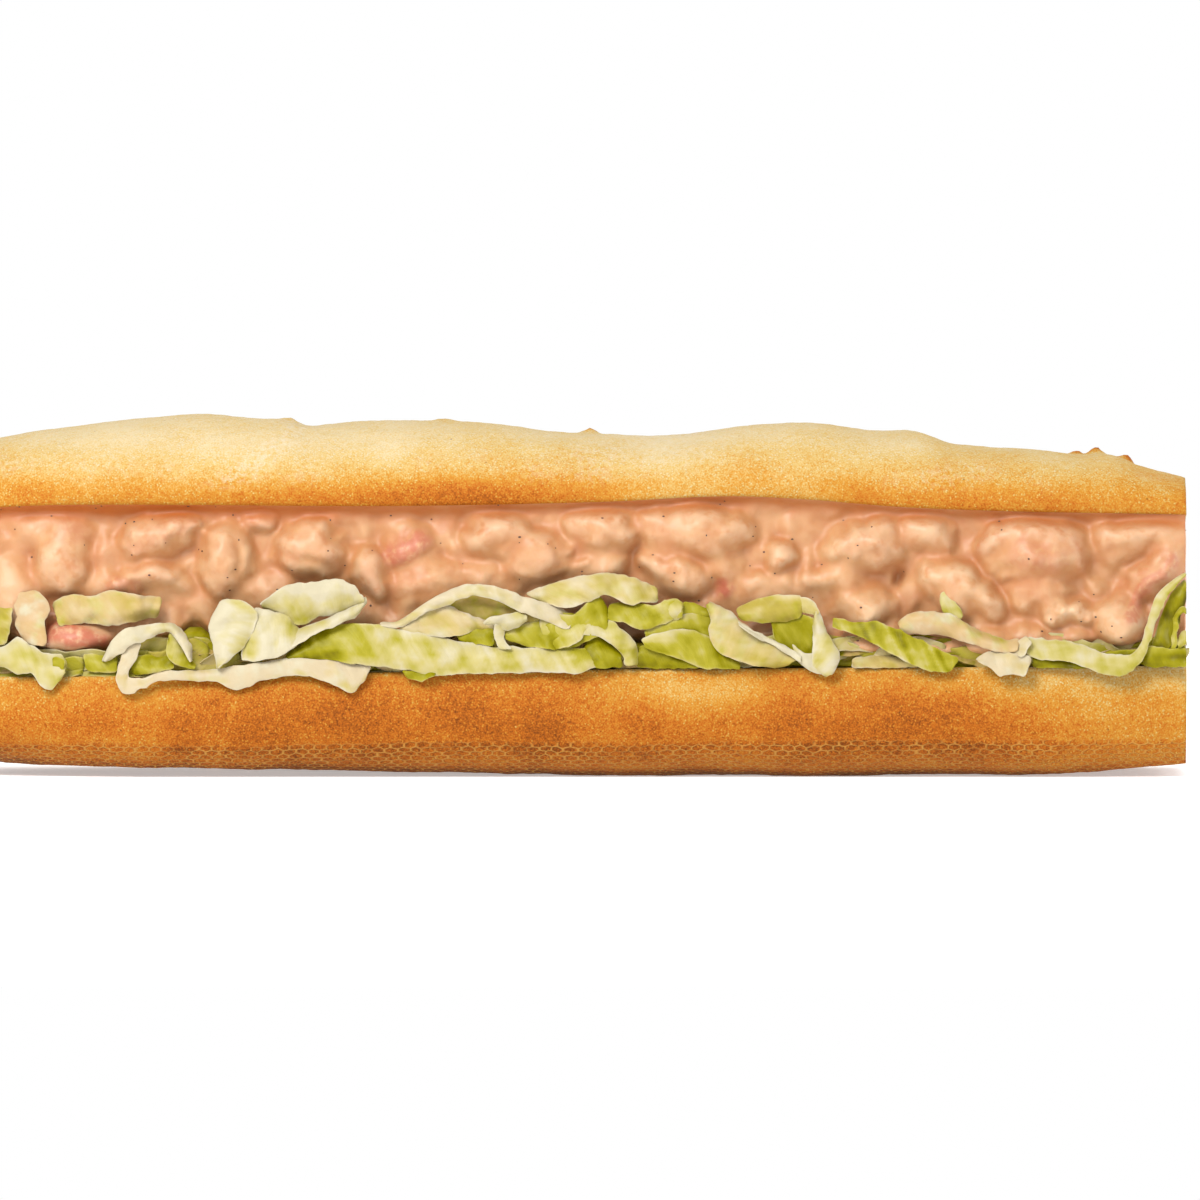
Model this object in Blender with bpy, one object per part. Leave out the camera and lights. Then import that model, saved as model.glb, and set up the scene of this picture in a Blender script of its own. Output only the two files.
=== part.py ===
"""Prawn baguette: a length of baguette, split lengthwise, filled and cut square at one end.

Four solids stand for the real pieces: the base half of the loaf, the top half that lies
tilted on the filling, a bed of shredded lettuce and a heap of prawns in pink sauce.

X runs along the loaf from the rounded heel to the square cut, -Y is the open front and
+Z is up. The origin is on the table, under the middle of the whole sandwich, which the
lettuce makes deeper in front. Lengths in the tables are millimetres: "along" is measured
from a mark 28 mm in from the heel's tip, "up" from the table and "out" from the loaf's
middle line towards the front.
"""

import math
import random

import bmesh
import bpy
import numpy as np
from mathutils import Matrix, Vector

MM = 0.001

# The loaf, seen from the front.
HEEL_TIP = -28.0
CUT_END = 237.4
MIDDLE = (HEEL_TIP + CUT_END) / 2
MIDDLE_OUT = 1.6  # how far the loaf's middle line lies behind the whole sandwich's
HEEL_LENGTH = 62.0
HEEL_ROUNDNESS = 2.1
HALF_WIDTH = 32.0
CUT_END_WIDTH_SHARE = 0.91
CUT_END_TAPER = 45.0
FLAT_FROM, FLAT_TO = 66.0, 200.0
HEEL_LIFT, CUT_END_LIFT = 1.4, 2.4
BASE_WIDEST_UP = 15.0
BASE_DEPTH_SPARE = 1.2
RIM_INSET = 0.965
TOP_TILT = math.radians(10.0)
TOP_SHOULDER = 2.25
TIP_DROOP = 11.0
CRUST_STEPS, CUT_STEPS = 17, 5
CORE_OVERRUN = 2.5
CORE_STEPS, CORE_SQUARENESS = 14, 3.4

# (along, up) of the outlines that the loaf's side view needs.
BASE_RIM = ((-28, 20.0), (0, 20.2), (60, 21.0), (130, 21.8), (237.4, 22.4))
TOP_RIM = ((0, 54.4), (60, 55.2), (100, 55.2), (150, 56.6), (175, 55.0), (200, 53.8), (237.4, 53.4))
CROWN = (
    (-28, 70.0), (0, 70.2), (20, 71.6), (43, 72.6), (60, 70.8), (79, 72.0), (100, 70.8),
    (120, 68.8), (135, 67.5), (150, 69.1), (166, 69.8), (181, 69.8), (195, 67.6),
    (208, 66.7), (220, 66.2), (228, 63.8), (237.4, 60.2),
)

# Where the prawns meet the lettuce, and the half widths of the two cores.
FILLING_TIP = -23.0
SPLIT_WAVE, SPLIT_WAVELENGTH, SPLIT_STEP = 1.1, 7.0, 5.5
SPLIT_UP = ((-20, 30.0), (40, 33.0), (120, 34.0), (180, 31.5), (237.4, 29.5))
BED_HALF_WIDTH = 30.0
HEAP_HALF_WIDTH = 26.0

# Prawns that show at the front: along, up, overall length, overall height, lean in degrees.
FRONT_PRAWNS = (
    (2.5, 37.0, 9.0, 8.0, 20), (6.0, 48.6, 9.0, 6.5, 0), (12.4, 43.8, 13.5, 11.5, 60),
    (32.0, 47.4, 17.0, 8.5, 18), (30.4, 40.0, 12.0, 7.0, 8), (45.0, 44.6, 14.5, 12.0, 100),
    (52.4, 49.6, 8.0, 5.5, 0), (61.0, 46.0, 15.0, 11.5, 10),
    (74.6, 41.6, 10.5, 7.5, 80), (83.0, 45.6, 9.5, 9.0, 30), (88.0, 39.5, 12.0, 7.0, 0),
    (97.6, 47.2, 14.0, 10.0, 38), (108.0, 44.4, 12.5, 11.0, 15), (118.0, 49.6, 11.5, 7.5, 5),
    (119.0, 44.6, 7.5, 7.0, 70), (139.0, 47.4, 24.0, 13.5, -8), (134.4, 39.2, 12.0, 8.5, 5),
    (145.0, 37.6, 7.5, 5.5, -20), (156.4, 44.8, 7.5, 7.0, 80), (174.0, 46.4, 21.0, 12.5, 12),
    (172.4, 36.2, 8.0, 6.5, 25), (192.4, 37.6, 16.5, 11.0, -12), (207.0, 46.0, 22.0, 12.0, -5),
    (208.5, 37.6, 12.5, 8.0, 10), (212.0, 32.2, 11.5, 7.5, 0), (223.0, 32.0, 12.5, 8.5, 15),
    (229.0, 41.6, 15.5, 7.0, 60), (235.0, 47.4, 11.0, 6.5, 35),
)
PRAWN_FATNESS = 0.42
PRAWN_TAPER = 0.4
PRAWN_STANDS_OUT = 0.3
PRAWN_CURL = (205, -45)
BACK_PRAWN_PITCH = 15.5
SMALL_PRAWN_PITCH = 14.0

# Rows of lettuce strips. Front: pitch along, height over the base's rim, length, wave height.
FRONT_ROWS = ((27.0, -0.4, 28.0, 2.6), (25.0, 4.4, 29.0, 2.0), (26.0, 8.6, 25.0, 1.4))
BACK_ROWS = ((34.0, 3.0, 28.0, 1.8), (34.0, 7.0, 24.0, 1.4))
STRIP_WIDTHS = (3.0, 6.4)
STRIP_STEP = 6.0
FRONT_STRIP_OUT = 30.4
HANGING_STRIP_OUT = 33.2
BACK_STRIP_OUT = 30.0
STRIP_THICKNESS = 0.8
LIFT_OFF = 0.35
FILLING_RECESS = 0.3

HEAP_TRIANGLES, BED_TRIANGLES = 5800, 4700
SHARP_ANGLE = math.radians(35.0)
RANDOM_SEED = 14


def smooth_curve(points, at):
    """The value at one place on a smooth curve through (place, value) points, level past its ends."""
    places, values = (np.array(column, float) for column in zip(*points))
    slopes = np.gradient(values, places)
    at = min(max(at, places[0]), places[-1])
    i = min(int(np.searchsorted(places, at, side="right")) - 1, len(places) - 2)
    span = places[i + 1] - places[i]
    t = (at - places[i]) / span
    rise = t * t * (3 - 2 * t)
    lead_in = t * (1 - t) ** 2
    lead_out = t * t * (t - 1)
    return (
        values[i] * (1 - rise) + values[i + 1] * rise
        + span * (slopes[i] * lead_in + slopes[i + 1] * lead_out)
    )


def heel_share(along, tip, length):
    """How full the cross-section is: 0 at the heel's tip, rounding up to 1 over the heel's length."""
    back_from_full = max(0.0, tip + length - along) / length
    return max(0.0, 1.0 - back_from_full**HEEL_ROUNDNESS) ** (1.0 / HEEL_ROUNDNESS)


def loaf_half_width(along):
    """Half the loaf's depth, which narrows at the heel and a little towards the square cut."""
    near_cut = max(0.0, (along - (CUT_END - CUT_END_TAPER)) / CUT_END_TAPER)
    cut_share = 1.0 - (1.0 - CUT_END_WIDTH_SHARE) * near_cut**2
    return HALF_WIDTH * heel_share(along, HEEL_TIP, HEEL_LENGTH) * cut_share


def keel_lift(along):
    """How far the loaf's underside stands off the table."""
    heel = max(0.0, (FLAT_FROM - along) / FLAT_FROM)
    cut = max(0.0, (along - FLAT_TO) / (CUT_END - FLAT_TO))
    return HEEL_LIFT * heel**1.5 + CUT_END_LIFT * cut**1.6


def top_middle_up(along):
    """Height of the top half's cut face, halfway between its front and back rims."""
    droop = TIP_DROOP * (1.0 - heel_share(along, HEEL_TIP, HEEL_LENGTH)) ** 1.5
    return smooth_curve(TOP_RIM, along) - RIM_INSET * HALF_WIDTH * math.sin(TOP_TILT) - droop


def top_cut_up(along, out):
    """Height of the top half's cut face at one spot."""
    return top_middle_up(along) + out * math.tan(TOP_TILT)


def at(along, out, up):
    """A point of the model, in metres, from its place along, out of and up the loaf."""
    return Vector(((along - MIDDLE) * MM, (MIDDLE_OUT - out) * MM, up * MM))


def base_ring(along, grow):
    """The base half's outline at one place: crust from the front rim round to the back, then the cut face."""
    width = loaf_half_width(along) + grow
    share = heel_share(along, HEEL_TIP, HEEL_LENGTH)
    rim = smooth_curve(BASE_RIM, along) + grow
    widest = rim - (smooth_curve(BASE_RIM, along) - BASE_WIDEST_UP) * share - grow
    depth = (BASE_WIDEST_UP + BASE_DEPTH_SPARE) * share + grow
    above = math.acos(RIM_INSET)
    floor = keel_lift(along) - grow
    ring = []
    for step in range(CRUST_STEPS + 1):
        turn = -above + (math.pi + 2 * above) * step / CRUST_STEPS
        rise = (rim - widest) / math.sin(above) if math.sin(turn) < 0 else depth
        ring.append(at(along, width * math.cos(turn), max(floor, widest - rise * math.sin(turn))))
    for step in range(1, CUT_STEPS):
        ring.append(at(along, width * RIM_INSET * (2 * step / CUT_STEPS - 1), rim))
    return ring


def top_ring(along, grow):
    """The top half's outline at one place, tilted so that its front is the higher side."""
    width = loaf_half_width(along) * RIM_INSET + grow
    middle = top_middle_up(along)
    lean = width * math.sin(TOP_TILT)
    full = math.sqrt((smooth_curve(CROWN, along) - top_middle_up(MIDDLE)) ** 2 - lean**2)
    height = full / math.cos(TOP_TILT) * heel_share(along, HEEL_TIP, HEEL_LENGTH) + grow
    flat = [
        (width * cos_power(math.pi * step / CRUST_STEPS), height * sin_power(math.pi * step / CRUST_STEPS))
        for step in range(CRUST_STEPS + 1)
    ]
    flat += [(width * (2 * step / CUT_STEPS - 1), 0.0) for step in range(1, CUT_STEPS)]
    tilt_out, tilt_up = math.cos(TOP_TILT), math.sin(TOP_TILT)
    ring = []
    for out, up in flat:
        up -= grow if up == 0.0 else 0.0
        ring.append(at(along, out * tilt_out - up * tilt_up, middle + out * tilt_up + up * tilt_out))
    return ring


def cos_power(turn):
    """Cosine squared off into the loaf's fuller shoulder."""
    return math.copysign(abs(math.cos(turn)) ** (2 / TOP_SHOULDER), math.cos(turn))


def sin_power(turn):
    """Sine squared off into the loaf's fuller shoulder, exactly 0 at both rims."""
    return max(0.0, round(math.sin(turn), 9)) ** (2 / TOP_SHOULDER)


def stations(tip, heel_steps, body_step):
    """Places along the loaf for cross-sections, close together round the heel's nose."""
    nose = [
        tip + HEEL_LENGTH * (1 - math.cos(math.pi / 2 * step / heel_steps))
        for step in range(1, heel_steps + 1)
    ]
    nose[0:0] = [tip + 0.35 * (nose[0] - tip)]
    body = CUT_END - nose[-1]
    count = round(body / body_step)
    return nose + [nose[-1] + body * step / count for step in range(1, count + 1)]


def mesh_object(name, points, faces):
    """An object with this mesh, linked to the scene."""
    mesh = bpy.data.meshes.new(name)
    mesh.from_pydata([tuple(point) for point in points], [], faces)
    mesh.validate()
    made = bpy.data.objects.new(name, mesh)
    bpy.context.scene.collection.objects.link(made)
    return made


def loft(name, rings):
    """A closed solid through rings of the same number of points, with both ends filled."""
    count = len(rings[0])
    faces = [
        (a * count + i, a * count + (i + 1) % count, (a + 1) * count + (i + 1) % count, (a + 1) * count + i)
        for a in range(len(rings) - 1)
        for i in range(count)
    ]
    faces.append(tuple(reversed(range(count))))
    faces.append(tuple(range((len(rings) - 1) * count, len(rings) * count)))
    made = mesh_object(name, [point for ring in rings for point in ring], faces)
    point_outwards(made)
    return made


def point_outwards(made):
    """Turns every face of a closed mesh outwards and splits it into triangles."""
    shape = bmesh.new()
    shape.from_mesh(made.data)
    bmesh.ops.recalc_face_normals(shape, faces=shape.faces)
    bmesh.ops.triangulate(shape, faces=shape.faces, quad_method="SHORT_EDGE")
    if shape.calc_volume(signed=True) < 0:
        bmesh.ops.reverse_faces(shape, faces=shape.faces)
    shape.to_mesh(made.data)
    shape.free()


def bread_half(name, ring_at, grow=0.0):
    """One half of the loaf, or its shape grown all round for cutting clearance."""
    places = stations(HEEL_TIP, 9, 8.0)
    if grow:
        places[-1] += 2.0
    return loft(name, [ring_at(along, grow) for along in places])


def oval_ring(along, out_radius, middle, half):
    """A rounded box of an outline about a height, with its top sloping like the top half's cut face."""
    ring = []
    for step in range(CORE_STEPS):
        turn = 2 * math.pi * step / CORE_STEPS
        side, rise = math.cos(turn), math.sin(turn)
        out = out_radius * math.copysign(abs(side) ** (2 / CORE_SQUARENESS), side)
        up = middle + half * math.copysign(abs(rise) ** (2 / CORE_SQUARENESS), rise)
        slope = out * math.tan(TOP_TILT) * max(0.0, rise)
        ring.append(at(along, out, up + slope))
    return ring


def filling_core(name, half_width, low_at, high_at):
    """A plain run of filling between two heights, rounded off inside the heel."""
    rings = []
    for along in stations(FILLING_TIP, 6, 9.0):
        share = heel_share(along, FILLING_TIP, HEEL_LENGTH)
        low, high = low_at(along), high_at(along)
        rings.append(oval_ring(along, half_width * share, (low + high) / 2, (high - low) / 2 * share**0.25))
    return loft(name, rings)


def prawn(name, place, length, height, lean, facing):
    """A peeled prawn curled into an open ring: fat behind the head end, thin at the tail."""
    rings, sides = 6, 6
    thick = PRAWN_FATNESS * height
    reach = Vector((length / 2 - 0.6 * thick, 0, height / 2 - 0.8 * thick))
    points = []
    for ring in range(rings):
        share = ring / (rings - 1)
        turn = math.radians(PRAWN_CURL[0] + (PRAWN_CURL[1] - PRAWN_CURL[0]) * share)
        centre = Vector((reach.x * math.cos(turn), 0, reach.z * math.sin(turn)))
        ahead = Vector((reach.x * math.sin(turn), 0, -reach.z * math.cos(turn))).normalized()
        across = Vector((0, 1, 0))
        outwards = ahead.cross(across)
        size = thick * (1.0 - PRAWN_TAPER * share) * (0.6 if ring in (0, rings - 1) else 1.0)
        for side in range(sides):
            swing = 2 * math.pi * side / sides
            points.append(centre + size * (across * math.cos(swing) * 1.1 + outwards * math.sin(swing)))
    turned = Matrix.Rotation(facing, 4, "Z") @ Matrix.Rotation(-math.radians(lean), 4, "Y")
    placed = [place + (turned @ point) * MM for point in points]
    return loft(name, [placed[ring * sides:(ring + 1) * sides] for ring in range(rings)])


def strip_line(start, length, up, wave, side, draw):
    """The wavy line that a strip follows along one side of the filling, front (1) or back (-1)."""
    steps = max(3, round(length / STRIP_STEP))
    phase, bend = draw.uniform(0, 2 * math.pi), draw.uniform(0.5, 0.9)
    slope = draw.uniform(-0.12, 0.12)
    line = []
    for step in range(steps + 1):
        gone = length * step / steps
        here = start + gone
        height = up + slope * (gone - length / 2) + wave * math.sin(phase + bend * step)
        line.append(at(here, side * strip_out(here, height, side), height))
    return line


def strip(name, line, width, twist):
    """A thin wavy shred along a line, its two faces split into triangles alike."""
    points, faces = [], []
    last = len(line) - 1
    for i, centre in enumerate(line):
        ahead = (line[min(i + 1, last)] - line[max(i - 1, 0)]).normalized()
        upright = ahead.cross(Vector((0, 1, 0))).normalized()
        turn = twist * math.sin(2.1 * i) + 0.25
        across = Matrix.Rotation(turn, 3, ahead) @ upright
        normal = ahead.cross(across)
        taper = 0.75 if i in (0, last) else 1.0
        for side, face in ((-1, 1), (1, 1), (1, -1), (-1, -1)):
            edge = across * side * width * taper / 2 + normal * face * STRIP_THICKNESS / 2
            points.append(centre + edge * MM)
    for i in range(last):
        a, b = 4 * i, 4 * i + 4
        faces += [(a, b, b + 1), (a, b + 1, a + 1)]
        faces += [(a + 3, b + 2, b + 3), (a + 3, a + 2, b + 2)]
        for near, far in ((1, 2), (3, 0)):
            faces += [(a + near, b + near, b + far), (a + near, b + far, a + far)]
    for a, b, c in ((0, 1, 2), (0, 2, 3)):
        faces += [(a, b, c), (4 * last + a, 4 * last + c, 4 * last + b)]
    made = mesh_object(name, points, faces)
    point_outwards(made)
    return made


def boolean(target, others, operation):
    """Joins or cuts a solid with others, applies it and removes them."""
    group = bpy.data.collections.new(target.name + "_tools")
    for other in others:
        group.objects.link(other)
    step = target.modifiers.new(operation.lower(), "BOOLEAN")
    step.operation, step.solver = operation, "MANIFOLD"
    step.operand_type, step.collection = "COLLECTION", group
    graph = bpy.context.evaluated_depsgraph_get()
    target.data = bpy.data.meshes.new_from_object(target.evaluated_get(graph))
    target.modifiers.clear()
    bpy.data.collections.remove(group)
    for other in others:
        bpy.data.objects.remove(other)


def keep_largest(made):
    """Drops loose scraps that a cut has left, keeping the one large body."""
    shape = bmesh.new()
    shape.from_mesh(made.data)
    bmesh.ops.triangulate(shape, faces=shape.faces)
    waiting, bodies = set(shape.verts), []
    while waiting:
        reached, edge_of_search = set(), [waiting.pop()]
        while edge_of_search:
            here = edge_of_search.pop()
            reached.add(here)
            fresh = [edge.other_vert(here) for edge in here.link_edges if edge.other_vert(here) in waiting]
            waiting.difference_update(fresh)
            edge_of_search += fresh
        bodies.append(reached)
    bodies.sort(key=len, reverse=True)
    bmesh.ops.delete(shape, geom=[vert for body in bodies[1:] for vert in body], context="VERTS")
    shape.to_mesh(made.data)
    shape.free()


def thin_out(made, faces):
    """Merges the slivers that the cuts have left until about this many triangles remain."""
    step = made.modifiers.new("thin_out", "DECIMATE")
    step.ratio = faces / len(made.data.polygons)
    step.use_collapse_triangulate = True
    graph = bpy.context.evaluated_depsgraph_get()
    made.data = bpy.data.meshes.new_from_object(made.evaluated_get(graph))
    made.modifiers.clear()


def strip_out(along, up, side):
    """How far out a strip runs: against the filling, or further out where it hangs over the base's rim."""
    share = heel_share(along, FILLING_TIP, HEEL_LENGTH)
    if side < 0:
        return BACK_STRIP_OUT * share
    over_rim = min(1.0, max(0.0, (smooth_curve(BASE_RIM, along) + 4.5 - up) / 3.0))
    return (FRONT_STRIP_OUT + (HANGING_STRIP_OUT - FRONT_STRIP_OUT) * over_rim) * share


def prawn_out(along, height, side):
    """How far out a prawn's middle sits, so that it is fused to the core and stands out of it."""
    core = HEAP_HALF_WIDTH * heel_share(along, FILLING_TIP, HEEL_LENGTH)
    return side * (core + PRAWN_STANDS_OUT * PRAWN_FATNESS * height)


def mouth_prawn(along, side, levels, lengths, draw):
    """A prawn at a random level between the lettuce and the top half, turned to face out of its side."""
    length = draw.uniform(*lengths)
    height = length * 0.64
    out = prawn_out(along, height, side)
    low, high = smooth_curve(SPLIT_UP, along), top_cut_up(along, out)
    place = at(along, out, low + (high - low) * draw.uniform(*levels))
    return prawn("prawn", place, length, height, draw.uniform(-50, 70), 0.0 if side > 0 else math.pi)


def all_prawns():
    """Every prawn that shows: the front ones by hand, the back ones spread evenly and varied."""
    draw = random.Random(RANDOM_SEED)
    made = []
    for along, up, length, height, lean in FRONT_PRAWNS:
        place = at(along, prawn_out(along, height, 1) + draw.uniform(-0.4, 0.4), up)
        made.append(prawn("prawn", place, length, height, lean, 0.0))
    along = FILLING_TIP + 12
    while along < CUT_END - 4:
        made.append(mouth_prawn(along, 1, (0.2, 0.8), (8.5, 11.0), draw))
        along += SMALL_PRAWN_PITCH * draw.uniform(0.7, 1.3)
    along = FILLING_TIP + 14
    while along < CUT_END - 6:
        made.append(mouth_prawn(along, -1, (0.3, 0.7), (13.0, 18.0), draw))
        along += BACK_PRAWN_PITCH * draw.uniform(0.8, 1.2)
    return made


def all_strips():
    """The lettuce strips that show, in rows along the front and the back."""
    draw = random.Random(RANDOM_SEED + 1)
    made = []
    for side, rows in ((1, FRONT_ROWS), (-1, BACK_ROWS)):
        for pitch, over_rim, length, wave in rows:
            along = FILLING_TIP + 10 + draw.uniform(0, pitch)
            while along < CUT_END - 8:
                run = length * draw.uniform(0.7, 1.15)
                up = smooth_curve(BASE_RIM, along + run / 2) + over_rim + draw.uniform(-0.8, 0.8)
                line = strip_line(along, run, up, wave, side, draw)
                made.append(strip("strip", line, draw.uniform(*STRIP_WIDTHS), draw.uniform(0.15, 0.5)))
                along += pitch * draw.uniform(0.8, 1.2)
    return made


def heap_core(name):
    """The sauce and prawns that don't show one by one, between the lettuce and the top half."""
    return filling_core(
        name,
        HEAP_HALF_WIDTH,
        lambda along: smooth_curve(SPLIT_UP, along) - CORE_OVERRUN,
        lambda along: top_middle_up(along) + CORE_OVERRUN,
    )


def bed_core(name):
    """The body of the lettuce bed, lying on the base half."""
    return filling_core(
        name,
        BED_HALF_WIDTH,
        lambda along: smooth_curve(BASE_RIM, along) - CORE_OVERRUN,
        lambda along: smooth_curve(SPLIT_UP, along) + CORE_OVERRUN,
    )


def split_zone(above):
    """Everything above, or below, the wavy surface where the prawns meet the lettuce, with its clearance."""
    wide, far_up = 45, 80 if above else -10
    rings = []
    along = FILLING_TIP - 10
    while along < CUT_END + 12:
        middle = smooth_curve(SPLIT_UP, along)
        near = [middle + SPLIT_WAVE * math.sin(along / SPLIT_WAVELENGTH + turn) for turn in (0, 2)]
        near = [up + (-LIFT_OFF if above else LIFT_OFF) / 2 for up in near]
        rings.append([at(along, wide, far_up), at(along, wide, near[0]), at(along, -wide, near[1]),
                      at(along, -wide, far_up)])
        along += SPLIT_STEP
    return loft("zone", rings)


def end_block():
    """Everything past the square cut, to be taken off the filling."""
    outline = ((-60, -10), (60, -10), (60, 90), (-60, 90))
    ends = (CUT_END - FILLING_RECESS, CUT_END + 30)
    return loft("block", [[at(along, out, up) for out, up in outline] for along in ends])


def finish(made, colour, roughness):
    """Gives a piece its material, and smooth shading but for its sharp edges."""
    material = bpy.data.materials.new(made.name)
    material.use_nodes = True
    shader = material.node_tree.nodes["Principled BSDF"]
    shader.inputs["Base Color"].default_value = (*colour, 1.0)
    shader.inputs["Roughness"].default_value = roughness
    made.data.materials.clear()
    made.data.materials.append(material)
    made.data.shade_smooth()
    made.data.set_sharp_from_angle(angle=SHARP_ANGLE)


def main():
    """Builds the four pieces."""
    for old in list(bpy.data.objects):
        bpy.data.objects.remove(old)

    base = bread_half("baguette_base", base_ring)
    top = bread_half("baguette_top", top_ring)

    heap = heap_core("prawn_filling")
    boolean(heap, all_prawns(), "UNION")
    boolean(heap, [bread_half("cutter", top_ring, LIFT_OFF)], "DIFFERENCE")
    boolean(heap, [split_zone(above=False)], "DIFFERENCE")
    boolean(heap, [end_block()], "DIFFERENCE")
    keep_largest(heap)
    thin_out(heap, HEAP_TRIANGLES)

    lettuce = bed_core("shredded_lettuce")
    boolean(lettuce, all_strips(), "UNION")
    boolean(lettuce, [bread_half("cutter", base_ring, LIFT_OFF)], "DIFFERENCE")
    boolean(lettuce, [split_zone(above=True)], "DIFFERENCE")
    boolean(lettuce, [end_block()], "DIFFERENCE")
    keep_largest(lettuce)
    thin_out(lettuce, BED_TRIANGLES)

    finish(base, (0.56, 0.25, 0.06), 0.7)
    finish(top, (0.86, 0.55, 0.20), 0.7)
    finish(heap, (0.83, 0.42, 0.24), 0.35)
    finish(lettuce, (0.66, 0.66, 0.24), 0.4)


main()
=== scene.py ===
"""The looks of a prawn baguette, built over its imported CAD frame.

X runs along the loaf from the rounded heel to the square cut, -Y is the open front and +Z is
up. Places in the tables are millimetres: "along" from a mark near the heel, "up" from the
table and "out" from the loaf's middle line towards the front.
"""

from __future__ import annotations

import logging
import math
import random
from dataclasses import dataclass, field
from enum import Enum

import bmesh
import bpy
import numpy as np
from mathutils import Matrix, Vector

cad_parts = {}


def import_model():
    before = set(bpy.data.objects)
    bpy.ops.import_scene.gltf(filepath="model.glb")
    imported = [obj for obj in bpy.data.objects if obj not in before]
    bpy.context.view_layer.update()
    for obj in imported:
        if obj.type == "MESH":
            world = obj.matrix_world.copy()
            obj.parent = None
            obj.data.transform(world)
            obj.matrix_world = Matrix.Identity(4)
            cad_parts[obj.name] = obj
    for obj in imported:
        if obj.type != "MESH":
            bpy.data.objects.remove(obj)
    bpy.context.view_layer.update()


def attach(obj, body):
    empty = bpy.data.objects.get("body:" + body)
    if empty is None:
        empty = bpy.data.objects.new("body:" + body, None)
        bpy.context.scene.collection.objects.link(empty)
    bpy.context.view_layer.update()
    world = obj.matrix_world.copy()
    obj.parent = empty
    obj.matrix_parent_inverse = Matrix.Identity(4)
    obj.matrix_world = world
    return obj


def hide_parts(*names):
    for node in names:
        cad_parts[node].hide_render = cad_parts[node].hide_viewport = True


log = logging.getLogger("prawn_baguette")

MM = 0.001
BODY = "root"

HEEL_TIP = -28.0
CUT_END = 237.4
MIDDLE = (HEEL_TIP + CUT_END) / 2
MIDDLE_OUT = 1.6
HEEL_LENGTH = 62.0
HEEL_ROUNDNESS = 2.1
FILLING_TIP = -23.0
TOP_TILT = math.radians(10.0)
STUDIO_LIGHT = 2.2


class Node(str, Enum):
    """The CAD nodes."""

    BASE = "baguette_base"
    TOP = "baguette_top"
    PRAWNS = "prawn_filling"
    LETTUCE = "shredded_lettuce"


# Shared measures ------------------------------------------------------------------------


@dataclass(frozen=True)
class Outline:
    """A smooth curve through (place, value) pairs that runs level past its ends."""

    points: tuple[tuple[float, float], ...]

    def __call__(self, places: np.ndarray | float) -> np.ndarray:
        """Reads the curve.

        Args:
            places: where along the curve, in millimetres.

        Returns:
            The curve's value at each place.
        """
        at, values = (np.array(column, float) for column in zip(*self.points))
        slopes = np.gradient(values, at)
        places = np.clip(places, at[0], at[-1])
        i = np.clip(np.searchsorted(at, places, side="right") - 1, 0, len(at) - 2)
        span = at[i + 1] - at[i]
        t = (places - at[i]) / span
        rise = t * t * (3 - 2 * t)
        swing = slopes[i] * t * (1 - t) ** 2 + slopes[i + 1] * t * t * (t - 1)
        return values[i] * (1 - rise) + values[i + 1] * rise + span * swing


def ease(values: np.ndarray, low: float, high: float) -> np.ndarray:
    """Eases from 0 where the values are low to 1 where they are high; high may be below low."""
    t = np.clip((np.asarray(values, float) - low) / (high - low), 0.0, 1.0)
    return t * t * (3 - 2 * t)


def bump(values: np.ndarray, middle: float, width: float) -> np.ndarray:
    """A soft hump of height 1 that has sunk to about a third at its width from the middle."""
    return np.exp(-(((np.asarray(values, float) - middle) / width) ** 2))


def evenly(values: tuple[float, ...], shares: np.ndarray) -> np.ndarray:
    """Reads evenly spaced values at shares of the way along them."""
    return np.interp(shares, np.linspace(0, 1, len(values)), values)


def smooth_line(points: np.ndarray, shares: np.ndarray) -> list[np.ndarray]:
    """Reads each column of evenly marked points smoothly at shares of the way along them."""
    marks = np.linspace(0, 1, len(points))
    return [Outline(tuple(zip(marks, column)))(shares) for column in np.transpose(points)]


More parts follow.
